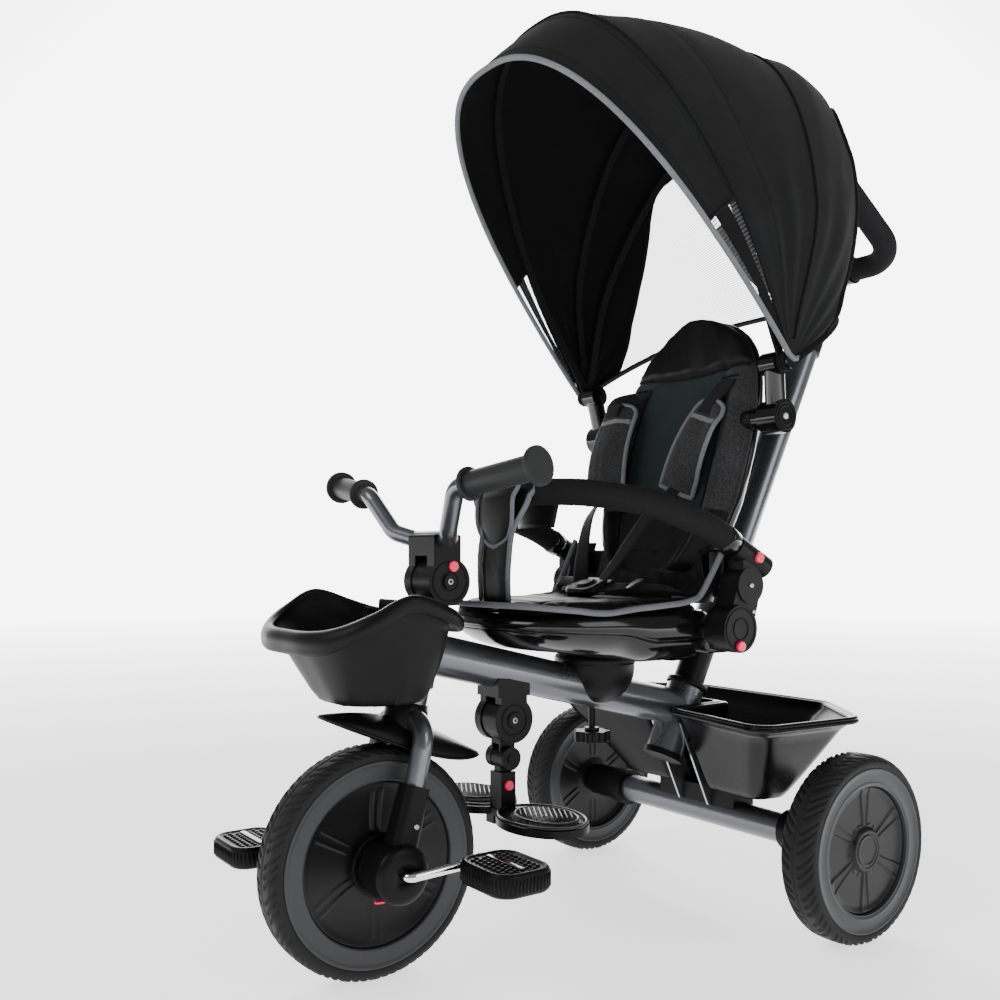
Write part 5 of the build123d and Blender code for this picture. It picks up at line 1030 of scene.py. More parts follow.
# visor's lower ends, netting below them and the black strap down its middle
for tag, sign in (("left", 1), ("right", -1)):
    def at(t, sign=sign):
        return t if sign > 0 else 180.0 - t
    ends = [canopy_mm(VISOR_EDGE + k, at(VISOR_END), 0.3) for k in range(13)]
    visor_parts.append(hood_tube(f"binding_visor_{tag}", ends, 2.2, "canopy_front_set", dark_binding))
    columns = [at(VISOR_END * k / 30) for k in range(31)]
    visor_parts.append(hood_panel(f"visor_net_{tag}", columns, steady(VISOR_EDGE), steady(FRONT_BOW), 8,
                                  "canopy_front_set", visor_net, -0.6))
    visor_parts.append(hood_panel(
        f"visor_strap_{tag}", columns,
        lambda t: 50.9 + 1.0 * (1 - min(t, 180 - t) / VISOR_END)
        - 2.5 * (1 - smooth_step(min(t, 180 - t), 0, 9)),
        lambda t: 56.6 + 1.0 * (1 - min(t, 180 - t) / VISOR_END)
        + 3.0 * (1 - smooth_step(min(t, 180 - t), 0, 9)), 4, "canopy_front_set", dark_binding, 0.5))
# stitching
seam72 = [canopy_mm(72.0, t, 0.0) for t in arc_columns(6.0, 174.0, 161)]
seam72_out = [outward(72.0, t) for t in arc_columns(6.0, 174.0, 161)]
mid_stitch = stitches("stitches_middle", seam72, seam72_out, None, dark_binding)
blend_by_angle(mid_stitch, "canopy_front_set", "canopy_mid_set", FRONT_BOW, MID_BOW)
mid_parts.append(mid_stitch)
for angle, name in ((50.2, "stitches_visor"), (58.6, "stitches_bow")):
    line = [canopy_mm(angle, t, 0.0) for t in arc_columns(21.0, 159.0, 141)]
    out = [outward(angle, t) for t in arc_columns(21.0, 159.0, 141)]
    visor_parts.append(stitches(name, line, out, "canopy_front_set", dark_binding))

for sheet, size, cut, parts, rests in (
        (visor, (0.80, 0.100), 0.053, visor_parts, ["rib_front"]),
        (mid, (1.00, 0.270), 0.169, mid_parts, ["rib_front", "rib_mid"]),
        (rear, (1.02, 0.330), 0.135, rear_parts, ["rib_mid", "rib_rear"])):
    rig.sheet(sheet, flat=size, held="stretched", rests_on=rests, area=cut, with_pieces=parts)


# ------------------------------------------------------------------ seat liner, harness and backrest
S_LEAN, C_LEAN = sin(radians(16.8)), cos(radians(16.8))


def on_back(x, h, d):
    """Point on the backrest: x across, h up its plane, d out of it towards the child."""
    return Vector((x, 78.0 + S_LEAN * h - C_LEAN * d, 405.0 + C_LEAN * h + S_LEAN * d))


def cad_node(name):
    return bpy.data.objects.get(name) or next(o for o in bpy.data.objects if o.get("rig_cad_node") == name)


def cad_copy(node, name, mat, remesh=5.0):
    """A free copy of a CAD node's mesh, remeshed evenly, in the row frame."""
    source = cad_node(node)
    mesh = source.data.copy()
    mesh.transform(source.matrix_world)
    obj = bpy.data.objects.new(name, mesh)
    bpy.context.scene.collection.objects.link(obj)
    mesh.materials.clear()
    mesh.materials.append(mat)
    mod = obj.modifiers.new("remesh", "REMESH")
    mod.mode = "VOXEL"
    mod.voxel_size = remesh * MM
    mod.use_smooth_shade = True
    apply(obj)
    return obj


def apply(obj):
    """Bakes all of obj's modifiers into its mesh."""
    bpy.context.view_layer.update()
    graph = bpy.context.evaluated_depsgraph_get()
    mesh = bpy.data.meshes.new_from_object(obj.evaluated_get(graph))
    obj.modifiers.clear()
    obj.data = mesh


def puff(obj, pressure, cap, frames=20, stiff=12.0):
    """Inflates a closed mesh as stuffing does, with no gravity. No point moves more than cap mm."""
    before = [v.co.copy() for v in obj.data.vertices]
    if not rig.quick():
        mod = obj.modifiers.new("cloth", "CLOTH")
        cfg = mod.settings
        cfg.quality = 5
        cfg.mass = 0.3
        cfg.tension_stiffness = cfg.compression_stiffness = stiff
        cfg.shear_stiffness = stiff * 0.6
        cfg.bending_stiffness = 0.6
        cfg.use_pressure = True
        cfg.uniform_pressure_force = pressure
        cfg.effector_weights.gravity = 0.0
        mod.point_cache.frame_start = 1
        mod.point_cache.frame_end = frames
        scene = bpy.context.scene
        for f in range(1, frames + 1):
            scene.frame_set(f)
        apply(obj)
        scene.frame_set(1)
    else:
        for v in obj.data.vertices:
            v.co += v.normal * cap * MM * 0.4
    limit = cap * MM
    for v, old in zip(obj.data.vertices, before):
        step = v.co - old
        if step.length > limit:
            v.co = old + step * (limit / step.length)


def refine(obj):
    mod = obj.modifiers.new("fine", "SUBSURF")
    mod.levels = mod.render_levels = 1
    apply(obj)
    for poly in obj.data.polygons:
        poly.use_smooth = True


def creases(x, y, seed=0.0, scale=0.03):
    """Small soft wrinkles, about -1 to 1."""
    return (noise.noise(Vector((x * scale, y * scale * 0.55, seed))) * 0.7
            + noise.noise(Vector((x * scale * 2.3, y * scale * 1.6, seed + 7.0))) * 0.3)


# ---- seat pad: stuffed, quilted with a centre panel and cross channels
SEAT_EDGE = [(0, -207), (44, -202), (80, -187), (103, -158), (114, -120), (121, -80), (127, -40), (130, 0),
             (130, 26)]


def edge_height(y):
    """Height of the liner's piped edge along the seat."""
    return (381.0 + 3.5 * smooth_step(-y, 150, 206) - 5.5 * exp(-((y + 108.0) / 34.0) ** 2)
            + 4.0 * smooth_step(y, -60, 10) + 14.0 * smooth_step(y, 0, 34))


SEAT_MID = -0.072


def seat_ring(inset):
    """Outline of the seat, this far inside its widest line."""
    half = [(0, -198.5), (34, -194.5), (64, -184), (88, -168), (104, -146), (113, -120), (120, -88),
            (125, -48), (128, 0), (128, 24), (124, 42), (112, 51), (98, 52), (0, 52)]
    loop = even_loop(through([(x, y, 0) for x, y in half] + [(-x, y, 0) for x, y in reversed(half[1:-1])],
                             3.0, closed=True), 220)
    out = []
    for i, p in enumerate(loop):
        t = (loop[(i + 1) % 220] - loop[i - 1]).normalized()
        out.append(p + Vector((-t.y, t.x, 0)) * inset)
    return out


def seat_bowl():
    """Glossy shell in two halves with a seam, its nose raised over the main tube."""
    rows = []
    profile = ((48, 317.0), (34, 317.2), (20, 320.0), (9, 326.0), (2.5, 333.5), (0.0, 339.0), (-0.4, 341.6),
               (1.2, 342.6), (1.2, 343.4), (-1.0, 344.4), (-2.6, 349.0), (-3.4, 356.0), (-2.6, 363.5),
               (0.2, 370.0), (4.0, 374.2), (8.0, 375.6), (12.0, 374.0), (15.0, 368.0))
    for inset, z in profile:
        row = []
        for p in seat_ring(inset):
            reach = hypot(p.x, p.y + 23.5)
            off = abs(degrees(atan2(p.x, -(p.y + 23.5))))
            need = 275.3 + 0.2419 * reach + 25.6
            lift = max(0.0, need - 317.0) * (1.0 - smooth_step(off, 63.0, 84.0))
            share = 1.0 - smooth_step(z, 317.0, 372.0)
            row.append(Vector((p.x, p.y,
                               max(z + lift * share, min(need, 372.0) if off < 63.0 and z < need else z))))
        rows.append(row)
    piece("seat_bowl", *skin(rows), "seat", gloss, "gloss_black", hides=("seat_shell",))
    boss = turned([(0, 46), (3, 49), (8, 50), (12, 48), (13, 44)], (0, -23.5, 306.0), (0, 0, 1), 60)
    piece("seat_boss", *boss, "seat", satin)
    for side, tag in SIDES:
        arm = slab(46, 34, 30, 6, 2.5, (side * 127.0, 46.0, 344.0), (0, 1, 0), (0, 0, 1))
        piece(f"seat_ear_{tag}", *arm, "seat", gloss)


def seat_liner():
    pad = cad_copy("seat_cushion", "seat_pad", satin_cloth, 5.0)
    puff(pad, 4.0, 7.0)
    refine(pad)
    for v in pad.data.vertices:
        v.co.x *= 0.955
        v.co.y = SEAT_MID + (v.co.y - SEAT_MID) * 0.965
        x, y, z = (c / MM for c in v.co)
        top = smooth_step(z, 368.0, 380.0)
        groove = exp(-((abs(x) - 66.0) / 3.4) ** 2) * (1.0 if y < 20 else 0.3)
        for k in range(4):
            line = -152.0 + 48.0 * k - abs(x) * 0.12
            groove = max(groove, 0.85 * exp(-((y - line) / 3.0) ** 2) * (1.0 if abs(x) < 66 else 0.0))
        v.co.z += MM * top * (-3.4 * groove + 0.9 * creases(x, y, 3.0, 0.035))
    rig.ride(pad, "seat")
    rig.replaces(pad, "seat_cushion")
    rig.slot(pad, "black_fabric")
    half = through([(x, y, edge_height(y)) for x, y in SEAT_EDGE], 3.0)
    half = [Vector((p.x, p.y, edge_height(p.y))) for p in half]
    loop = [Vector((-p.x, p.y, p.z)) for p in reversed(half[1:])] + half
    # skirt of cloth from the pad out to its piped edge, a little slack
    rows = []
    for k, p in enumerate(loop):
        centre = Vector((p.x * 0.70, -60 + (p.y + 60) * 0.78, 384.5))
        row = []
        for s in range(9):
            t = s / 8
            q = p.lerp(centre, t)
            q.z = p.z + (384.8 - p.z) * sin(t * pi / 2) + 1.2 * creases(p.x + p.y, t * 60, 5.0, 0.05)
            row.append(q)
        under = [q - Vector((0, 0, 2.2)) for q in reversed(row)]
        rows.append(row + under)
    skirt = piece("seat_skirt", *skin(rows, ends=True), "seat", satin_cloth, "black_fabric")
    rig.padded(skirt, fill=0.3)
    # piping up the wings' front edges, round the nose, in one run
    wing = [(130, 34, 398), (133, 42, 416), (136, 50, 437), (139, 60, 458)]
    path = ([Vector((-x, y, z)) for x, y, z in reversed(wing)] + loop + [Vector(w) for w in wing])
    path = through(path[::6] + [path[-1]], 3.0)
    out = []
    for p in path:
        away = Vector((p.x, p.y + 40.0, 0)).normalized()
        out.append(p + away * 1.6 + Vector((0, 0, 0.8)))
    piece("seat_piping", *tube(out, 3.5, sides=14), "seat", grey_binding)
    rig.padded(pad, fill=0.8)


def wing_pieces():
    """Side wings that rise from the seat's rear corners to the guard sockets, and the inner piping."""
    for side, tag in SIDES:
        front = through([(128, 22, 388), (130, 34, 400), (133, 42, 417), (136, 50, 438), (137, 58, 456)],
                        3.0)
        back = through([(118, 58, 384), (119, 62, 400), (120, 68, 418), (121, 74, 438), (122, 80, 456)],
                       3.0)
        count = min(len(front), len(back))
        rows = []
        for k in range(count):
            a = front[int(k * (len(front) - 1) / (count - 1))]
            b = back[int(k * (len(back) - 1) / (count - 1))]
            row = []
            for s in range(11):
                t = s / 10
                q = a.lerp(b, t)
                q.x += 5.0 * sin(pi * t) + 0.8 * creases(q.y, q.z, 9.0, 0.06)
                row.append(Vector((side * q.x, q.y, q.z)))
            inner = [q + Vector((-side * (5.0 + 4.0 * sin(pi * s / 10)), 0.0, 0.0))
                     for s, q in enumerate(row)]
            rows.append(row + list(reversed(inner)))
        wing = piece(f"seat_wing_{tag}", *skin(rows), "seat", satin_cloth, "black_fabric")
        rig.padded(wing, fill=0.6)
        inner_line = through([(side * 124, 34, 390), (side * 108, 38, 388), (side * 84, 44, 388),
                              (side * 60, 47, 388)], 3.0)
        piece(f"wing_piping_{tag}", *tube(inner_line, 2.2, sides=12, rounded=2.2), "seat", grey_binding)


# ---- backrest cover
def back_width(h):
    """Half width of the cover's face at this height."""
    pts = [(8, 68), (18, 86), (45, 103), (70, 112), (100, 119), (132, 121), (165, 122), (200, 121),
           (235, 118), (262, 112), (285, 104), (305, 93), (322, 79), (336, 60), (346, 38), (352, 10)]
    return from_table(pts, h)


SEAM_H = 276.0
PANEL_SHARE = 0.64


def seam_height(x):
    """Height of the curved seam between the cover's top panel and its centre."""
    return SEAM_H - 5.0 * cos(x / 62.0 * pi / 2)


def back_depth(x, h):
    """Depth of the cover's face: bolsters at the sides, a flat centre, a stuffed top with folds."""
    w = back_width(h) - 3.0
    u = min(1.0, abs(x) / w)
    rim = sqrt(max(0.0, 1.0 - u ** 6))
    bolster = exp(-((abs(x) - (w - 20.0)) / 14.0) ** 2)
    seam_h = seam_height(x)
    top = smooth_step(h, seam_h - 2, seam_h + 9)
    d = 13.0 + 9.0 * rim + (1.0 - smooth_step(h, 205, 285)) * 11.0 * bolster
    d += top * (5.0 * exp(-(x / 70.0) ** 2) + 3.0 * rim)
    d -= 4.2 * exp(-((h - seam_h) / 3.2) ** 2)
    centre = 1.0 - smooth_step(abs(x), w * 0.61, w * 0.67)
    d -= (1.0 - top) * 2.6 * exp(-((abs(x) - w * PANEL_SHARE) / 2.6) ** 2)
    d += (1.0 - top) * (1.0 - centre) * 1.6 * creases(x, h, 1.0, 0.045)
    d += (1.0 - top) * centre * 1.1 * creases(x, h, 2.0, 0.022)
    fold = noise.noise(Vector(((x + 0.45 * h) * 0.040, h * 0.010, 4.0)))
    d += top * (3.4 * fold + 1.0 * creases(x, h, 8.0, 0.05))
    d += 1.4 * (1.0 - smooth_step(h, 8, 40)) * creases(x, h, 6.0, 0.05)
    return d


def back_cover():
    """Face of the cover in three cloths: satin top, plain centre, melange bolsters."""
    levels = [8 + (350 - 8) * k / 110 for k in range(111)]
    cols = 72
    rows, zones = [], []
    for h in levels:
        w = back_width(h)
        row = []
        for k in range(cols + 1):
            u = -1 + 2 * k / cols
            x = w * sin(u * pi / 2) if abs(u) > 0.02 else w * u * pi / 2
            row.append(on_back(x, h, back_depth(x, h)))
        rows.append(row)
    verts, faces = skin(rows, around=False, ends=False)
    uvs = []
    for h in levels:
        w = back_width(h)
        uvs += [(w * sin((-1 + 2 * k / cols) * pi / 2), h) for k in range(cols + 1)]
    for f in faces:
        x = sum(uvs[i][0] for i in f) / 4
        h = sum(uvs[i][1] for i in f) / 4
        w = back_width(h) - 3.0
        seam_h = seam_height(x)
        low = 88.0 + 6.0 * cos(x / 50.0)
        zones.append(0 if h > seam_h or h < low else (1 if abs(x) < w * PANEL_SHARE else 2))
    # the edge turns back into the shell
    count = len(verts)
    ring = ([i for i in range(cols + 1)] + [(k + 1) * (cols + 1) - 1 for k in range(1, len(levels))]
            + [(len(levels) - 1) * (cols + 1) + k for k in range(cols - 1, -1, -1)]
            + [k * (cols + 1) for k in range(len(levels) - 2, 0, -1)])
    for depth, shrink in ((9.0, 0.0), (2.0, 1.5)):
        for i in ring:
            x, h = uvs[i]
            x2 = x * (1 - shrink / max(20.0, abs(x))) if abs(x) > 1 else x
            verts.append(tuple(on_back(x2, h, depth)))
            uvs.append((x + depth, h))
    n = len(ring)
    for k in range(n):
        m = (k + 1) % n
        faces.append((ring[m], ring[k], count + k, count + m))
        faces.append((count + m, count + k, count + n + k, count + n + m))
        zones += [0 if uvs[ring[k]][1] > SEAM_H else 2] * 2
    faces.append(tuple(count + n + k for k in range(n)))
    zones.append(0)
    cover = piece("backrest_cover", verts, faces, "backrest", (satin_cloth, plain_cloth, melange_cloth),
                  "black_fabric", hides=("backrest_pad",), uvs=uvs, zones=zones)
    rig.padded(cover, fill=0.7)
    # soft piping along the seam between the top panel and the centre, and beside the bolsters
    w = back_width(SEAM_H) - 6
    line = []
    for k in range(61):
        x = -w + 2 * w * k / 60
        h = seam_height(x)
        line.append(on_back(x, h, back_depth(x, h) + 2.6))
    piece("back_seam", *tube(line, 1.8, sides=10, rounded=1.8), "backrest", dark_binding)
    for side, tag in SIDES:
        line = []
        for k in range(70):
            h = 14 + (SEAM_H - 18 - 14) * k / 69
            x = side * (back_width(h) - 3.0) * PANEL_SHARE
            line.append(on_back(x, h, back_depth(x, h) + 1.6))
        piece(f"bolster_seam_{tag}", *tube(line, 1.3, sides=8, rounded=1.3), "backrest", dark_binding)


# ---- harness
def strap(path, width, thick, name, body, mat=None, normals=None):
    """Flat webbing along a path; normals point out of its face."""
    rows, uvs = [], []
    run = 0.0
    count = len(path)
    for i, p in enumerate(path):
        a, b = path[max(0, i - 1)], path[min(count - 1, i + 1)]
        t = (b - a).normalized()
        if i:
            run += (path[i] - path[i - 1]).length
        n = Vector(normals[i] if isinstance(normals, list) else normals)
        n = (n - t * n.dot(t)).normalized()
        side = t.cross(n)
        row = []
        for face in (1, -1):
            for k in range(9):
                u = face * (-1 + 2 * k / 8)
                edge = 1.0 - 0.55 * smooth_step(abs(u), 0.80, 1.0)
                row.append(p + side * (u * width / 2) + n * (face * thick / 2 * edge))
                uvs.append((u * width / 2, run))
        rows.append(row)
    verts, faces = skin(rows, ends=True)
    return piece(name, verts, faces, body, mat or webbing, uvs=uvs)


def back_tray():
    """Moulded shell behind the cover, rounded towards its back, with the hinge ears and the canopy bosses."""
    rise = [8 + 344 * (0.5 - 0.5 * cos(pi * k / 60)) for k in range(61)]
    edge = [(back_width(h), h) for h in rise]
    edge += [(-x, h) for x, h in reversed(edge)]
    rows = []
    for inset, d in ((5, 9.0), (1.0, 10.4), (-1.4, 9.6), (-2.2, 7.0), (-1.8, 3.0), (0.6, -1.2), (5.0, -5.0),
                     (12, -8.2), (24, -10.4), (42, -11.6), (66, -12.0), (96, -12.0)):
        rows.append([on_back(x * (1 - inset / 121.0), 180.0 + (h - 180.0) * (1 - inset / 172.0), d)
                     for x, h in edge])
    piece("back_tray", *skin(rows), "backrest", gloss, "gloss_black", hides=("backrest_shell",))
    for side, tag in SIDES:
        ear = joined([slab(28, 36, 38, 6, 2.5, (side * 101.0, 86.0, 428.0), (0, 1, 0), (0, 0, 1)),
                      slab(30, 40, 22, 5, 2.0, (side * 128.0, 66.0, 424.0), (0, 1, 0), (0, 0, 1)),
                      turned([(0, 15), (2, 17), (19, 17), (21, 15)], (side * 118.0, *HINGE_YZ),
                             (side, 0, 0), 48),
                      turned([(0, 11), (1, 12), (14, 12), (15, 11)], (side * 110.0, *KNOB_YZ),
                             (side, 0, 0), 40)])
        piece(f"back_ear_{tag}", *ear, "backrest", satin)


BACK_OUT = Vector((0, -C_LEAN, S_LEAN))
PAD_TOPS = {"left": (68.0, 227.0, 0), "right": (-92.0, 232.0, 0)}
PAD_LOWS = {"left": (28.0, 112.0, 0), "right": (-84.0, 96.0, 0)}


def belts(side, tag, at, length):
    """One side's webbing, with at giving points on its pad: slot, pad, buckle and lap belt."""
    # webbing from the slot in the cover, through the pad and down to the buckle
    slot_at = (side * 78.0, 260.0)
    path = [on_back(slot_at[0], slot_at[1], back_depth(*slot_at) - 2.0),
            on_back(slot_at[0] - side * 1, slot_at[1] - 8,
                    back_depth(slot_at[0], slot_at[1] - 8) + 4.5),
            at(-2, 0, 9.0), at(8, 0, 10.0), at(20, 0, 9.2)]
    path = through(path, 3.0)
    strap(path, 27.0, 1.8, f"strap_upper_{tag}", "backrest", normals=BACK_OUT)
    low_end = at(length - 4, 0, 1.2)
    buckle_at = Vector((side * 14.0, -34.0, 399.0))
    mid_a = low_end.lerp(buckle_at, 0.35) + Vector((side * 6, -6, 8))
    mid_b = low_end.lerp(buckle_at, 0.75) + Vector((side * 5, -4, 2))
    path = through([low_end, mid_a, mid_b, buckle_at], 3.0)
    normals = [Vector((side * 0.25, -0.9, 0.35)).lerp(Vector((0, -0.35, 0.95)), i / (len(path) - 1))
               for i in range(len(path))]
    joint = ("seat", "backrest", tuple(c * MM for c in buckle_at), tuple(c * MM for c in low_end))
    strap(path, 20.0, 1.6, f"strap_lower_{tag}", joint, normals=normals)
    # lap belt from the seat's rear corner
    knots = [(side * 96, 40, 392), (side * 86, 14, 400), (side * 54, -20, 402), (side * 20, -36, 399)]
    strap(through(knots, 3.0), 22.0, 1.6, f"lap_belt_{tag}", "seat", normals=(0, -0.45, 0.9))
    # stitched slot where the belt goes into the cover
    slot_line = []
    for k in range(13):
        x, h = slot_at[0] + side * (-15 + 30 * k / 12), slot_at[1] + 2
        slot_line.append(on_back(x, h, back_depth(x, h) + 0.4))
    piece(f"belt_slot_{tag}", *tube(slot_line, 2.0, sides=10, rounded=2.0), "backrest", dark_binding)


def shoulder_pads():
    """Two melange pads with light grey piping and a cross band, and the webbing that carries them."""
    for side, tag in SIDES:
        top = Vector(PAD_TOPS[tag])
        low = Vector(PAD_LOWS[tag])
        away = 0.0 if side > 0 else 14.0
        axis = (low - top).normalized()
        across = Vector((-axis.y, axis.x, 0))
        length = (low - top).length

        def half_width(s):
            """The pad widens a little towards its low end, and its top corners are rounded."""
            wide = 29.0 + 3.0 * s / length
            if s < 16:
                wide *= sqrt(max(0.0, 1 - ((16 - s) / 16) ** 2)) * 0.55 + 0.45
            return wide

        def at(s, u, lift, top=top, axis=axis, across=across, away=away):
            """s runs down the pad in mm, u is across it."""
            q = top + axis * s + across * u
            base = max(back_depth(q.x, q.y), back_depth(q.x + 12, q.y), back_depth(q.x - 12, q.y))
            bow = 3.0 + 9.0 * sin(pi * min(1.0, max(0.0, s / length)))
            return on_back(q.x, q.y, base + bow + lift + away - 2.2 * (u / 26.0) ** 2)

        rows, uvs = [], []
        steps = 46
        for i in range(steps + 1):
            s = length * i / steps
            wide = half_width(s)
            row = []
            for k in range(15):
                u = -1 + 2 * k / 14
                puffed = 4.2 * sqrt(max(0.0, 1 - abs(u) ** 4)) * (1 - 0.6 * exp(-((s - 26) / 3.5) ** 2))
                end = min(1.0, s / 8 + 0.2, (length - s) / 8 + 0.2)
                row.append(at(s, u * wide,
                              2.0 + puffed * end + 0.5 * creases(u * 30, s, 12.0 + side, 0.07)))
                uvs.append((u * wide, s))
            for k in range(14, -1, -1):
                u = -1 + 2 * k / 14
                row.append(at(s, u * wide, 0.6))
                uvs.append((u * wide, s))
            rows.append(row)
        verts, faces = skin(rows)
        pad = piece(f"shoulder_pad_{tag}", verts, faces, "backrest", melange_cloth, "melange_fabric",
                    uvs=uvs, hides=("shoulder_pads",))
        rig.padded(pad, fill=0.5)
        edge = [(length * i / 60, half_width(length * i / 60)) for i in range(61)]
        loop = [at(s, w, 3.0) for s, w in edge]
        loop += [at(length + 1, w, 3.0)
                 for w in (edge[-1][1] * 0.66, edge[-1][1] * 0.33, 0, -edge[-1][1] * 0.33,
                                                  -edge[-1][1] * 0.66)]
        loop += [at(s, -w, 3.0) for s, w in reversed(edge)]
        loop += [at(-1, w, 3.0) for w in (-edge[0][1] * 0.6, 0, edge[0][1] * 0.6)]
        piece(f"pad_piping_{tag}", *tube(loop, 2.9, sides=12, closed=True), "backrest", grey_binding)
        band = [at(26, -26 + 52 * k / 16, 4.6 - 1.2 * abs(k - 8) / 8) for k in range(17)]
        strap(band, 8.0, 1.6, f"pad_band_{tag}", "backrest", grey_binding, normals=BACK_OUT)
        belts(side, tag, at, length)


def box_loop(w, h, r, count=6):
    """Rounded rectangle, centred, as (x, y) points."""
    out = []
    for cx, cy, start in ((w / 2 - r, h / 2 - r, 0), (-w / 2 + r, h / 2 - r, 90),
                          (-w / 2 + r, -h / 2 + r, 180), (w / 2 - r, -h / 2 + r, 270)):
        for k in range(count + 1):
            a = radians(start + 90 * k / count)
            out.append((cx + r * cos(a), cy + r * sin(a)))
    return out


def slab(w, h, t, r, bevel, origin, x_dir, y_dir):
    """Rounded slab with soft edges. Its thickness runs along x_dir cross y_dir, both ways from origin."""
    x_dir, y_dir = Vector(x_dir).normalized(), Vector(y_dir).normalized()
    up = x_dir.cross(y_dir)
    o = Vector(origin)
    rows = []
    for inset, z in ((bevel * 1.6, -t / 2), (bevel * 0.5, -t / 2 + bevel * 0.2), (0, -t / 2 + bevel),
                     (0, t / 2 - bevel), (bevel * 0.5, t / 2 - bevel * 0.2), (bevel * 1.6, t / 2)):
        rows.append([o + x_dir * x + y_dir * y + up * z
                     for x, y in box_loop(w - 2 * inset, h - 2 * inset, max(0.5, r - inset))])
    return skin(rows)


def buckle():
    tilt = Vector((0, 0.92, 0.38))
    at = Vector((0, -36.0, 400.0))
    body = joined([slab(50, 40, 11, 12, 2.6, at, (1, 0, 0), tilt),
                   slab(24, 20, 13.6, 9, 1.8, at + Vector((0, -1, 1)), (1, 0, 0), tilt),
                   slab(60, 12, 5, 2.4, 1.0, at + tilt * 14, (1, 0, 0), tilt)])
    piece("buckle", *body, "seat", satin)
    ring = [at + Vector((15 * cos(2 * pi * k / 40), 12 * sin(2 * pi * k / 40) * 0.92,
                         12 * sin(2 * pi * k / 40) * 0.38))
            + Vector((0, -0.38, 0.92)) * 5.8 for k in range(40)]
    piece("buckle_ring", *tube(ring, 0.8, sides=8, closed=True), "seat", satin)
    for side, tag in SIDES:
        piece(f"belt_slider_{tag}",
              *joined([slab(30, 24, 3.6, 3, 1.0, (side * 60, -14, 405), (0.86, -side * 0.5, 0),
                                                  (side * 0.35, 0.75, 0.45))]), "seat", satin)


# ---- crotch panel from the seat's nose up round the guard bar
BAR_Y, BAR_Z = -137.5, 507.0


def crotch_panel():
    low, top = Vector((0, -170.0, 386.0)), Vector((0, -158.0, 506.0))

    def face(s, u, lift=0.0):
        """s from 0 at the seat to 1 at the bar, u across from -1 to 1."""
        half = 27.0 + 3.0 * s + 14.0 * smooth_step(s, 0.62, 1.0)
        p = low.lerp(top, s)
        bow = -6.0 * sin(pi * s) + 1.3 * creases(u * 40, s * 120, 15.0, 0.05)
        side_drop = 5.0 * u * u * smooth_step(s, 0.5, 1.0)
        return p + Vector((u * half, bow + side_drop - lift, 0.0))

    rows, uvs = [], []
    steps = 50
    for i in range(steps + 1):
        s = i / steps
        row = [face(s, -1 + k / 10, 2.4 * (1 - (-1 + k / 10) ** 4)) for k in range(21)]
        row += [face(s, 1 - k / 10, -2.4 * (1 - (1 - k / 10) ** 4) - 0.5) for k in range(21)]
        rows.append(row)
        uvs += [((-1 + k / 10) * 30, s * 120) for k in range(21)]
        uvs += [((1 - k / 10) * 30, s * 120) for k in range(21)]

    def two_faces(place, v):
        """Row over the bar: across the outer face, and back across the inner one."""
        row = []
        for sign, r in ((1, 20.0), (-1, 17.6)):
            for k in range(21):
                u = sign * (-1 + k / 10)
                row.append(place(u, r))
                uvs.append((u * 30, v))
        rows.append(row)

    # over the bar, and down behind it
    for i in range(1, 25):
        a = pi * i / 24
        half = 44.0 - 4.0 * i / 24
        two_faces(lambda u, r: Vector((u * half, BAR_Y - r * cos(a) + 8.8 * u * u, BAR_Z + r * sin(a))),
                  120 + i * 2.6)
    for i in range(1, 9):
        half = 40.0 - i * 0.8
        two_faces(lambda u, r: Vector((u * half, BAR_Y + r + 8.8 * u * u - 0.5 * i, BAR_Z - i * 4.5)),
                  185 + i * 4.5)
    verts, faces = skin(rows)
    reach = ("seat", "guard", (0, -0.168, 0.392), (0, -0.158, 0.496))
    panel = piece("crotch_panel", verts, faces, reach, satin_cloth, "black_fabric", uvs=uvs)
    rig.padded(panel, fill=0.4)
    for side, tag in SIDES:
        line = [face(i / 40, side * 0.97, 3.6 if side < 0 else 2.2) for i in range(41)]
        line += [Vector((side * (44.0 - 4.0 * k / 12), BAR_Y - 20.5 * cos(pi * k / 12) + 8.8,
                         BAR_Z + 20.5 * sin(pi * k / 12))) for k in range(1, 4)]
        piece(f"crotch_piping_{tag}", *tube(line, 3.1, sides=12, rounded=2.6), reach, grey_binding)

    def flap(u, s, lift):
        """Point on the flap that folds down over the bar's front, with a round end."""
        half = 35.0 * (1.0 if s < 0.5 else sqrt(max(0.0, 1 - ((s - 0.5) / 0.5) ** 2)))
        y = -168.5 - 2.5 * sin(pi * s) + 8.0 * (1.0 - smooth_step(s, 0.0, 0.25)) - lift + 2.5 * u * u
        return Vector((u * half - 4.0, y, 521.0 - s * 72.0))

    rows = []
    for i in range(31):
        s = i / 30
        rows.append([flap(-1 + k / 8, s, 3.2 * (1 - (-1 + k / 8) ** 4)) for k in range(17)]
                    + [flap(1 - k / 8, s, 0.2) for k in range(17)])
    cloth_flap = piece("crotch_flap", *skin(rows), "guard", satin_cloth)
    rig.padded(cloth_flap, fill=0.3)
    edge = [flap(-1, i / 30, 2.4) for i in range(30)] + [flap(0, 1.0, 2.4)] + [flap(1, i / 30, 2.4)
                                                                                for i in range(29, -1, -1)]
    line = through(edge[::3] + [edge[-1]], 2.5)
    piece("flap_piping", *tube(line, 2.6, sides=12, rounded=2.4), "guard", grey_binding)


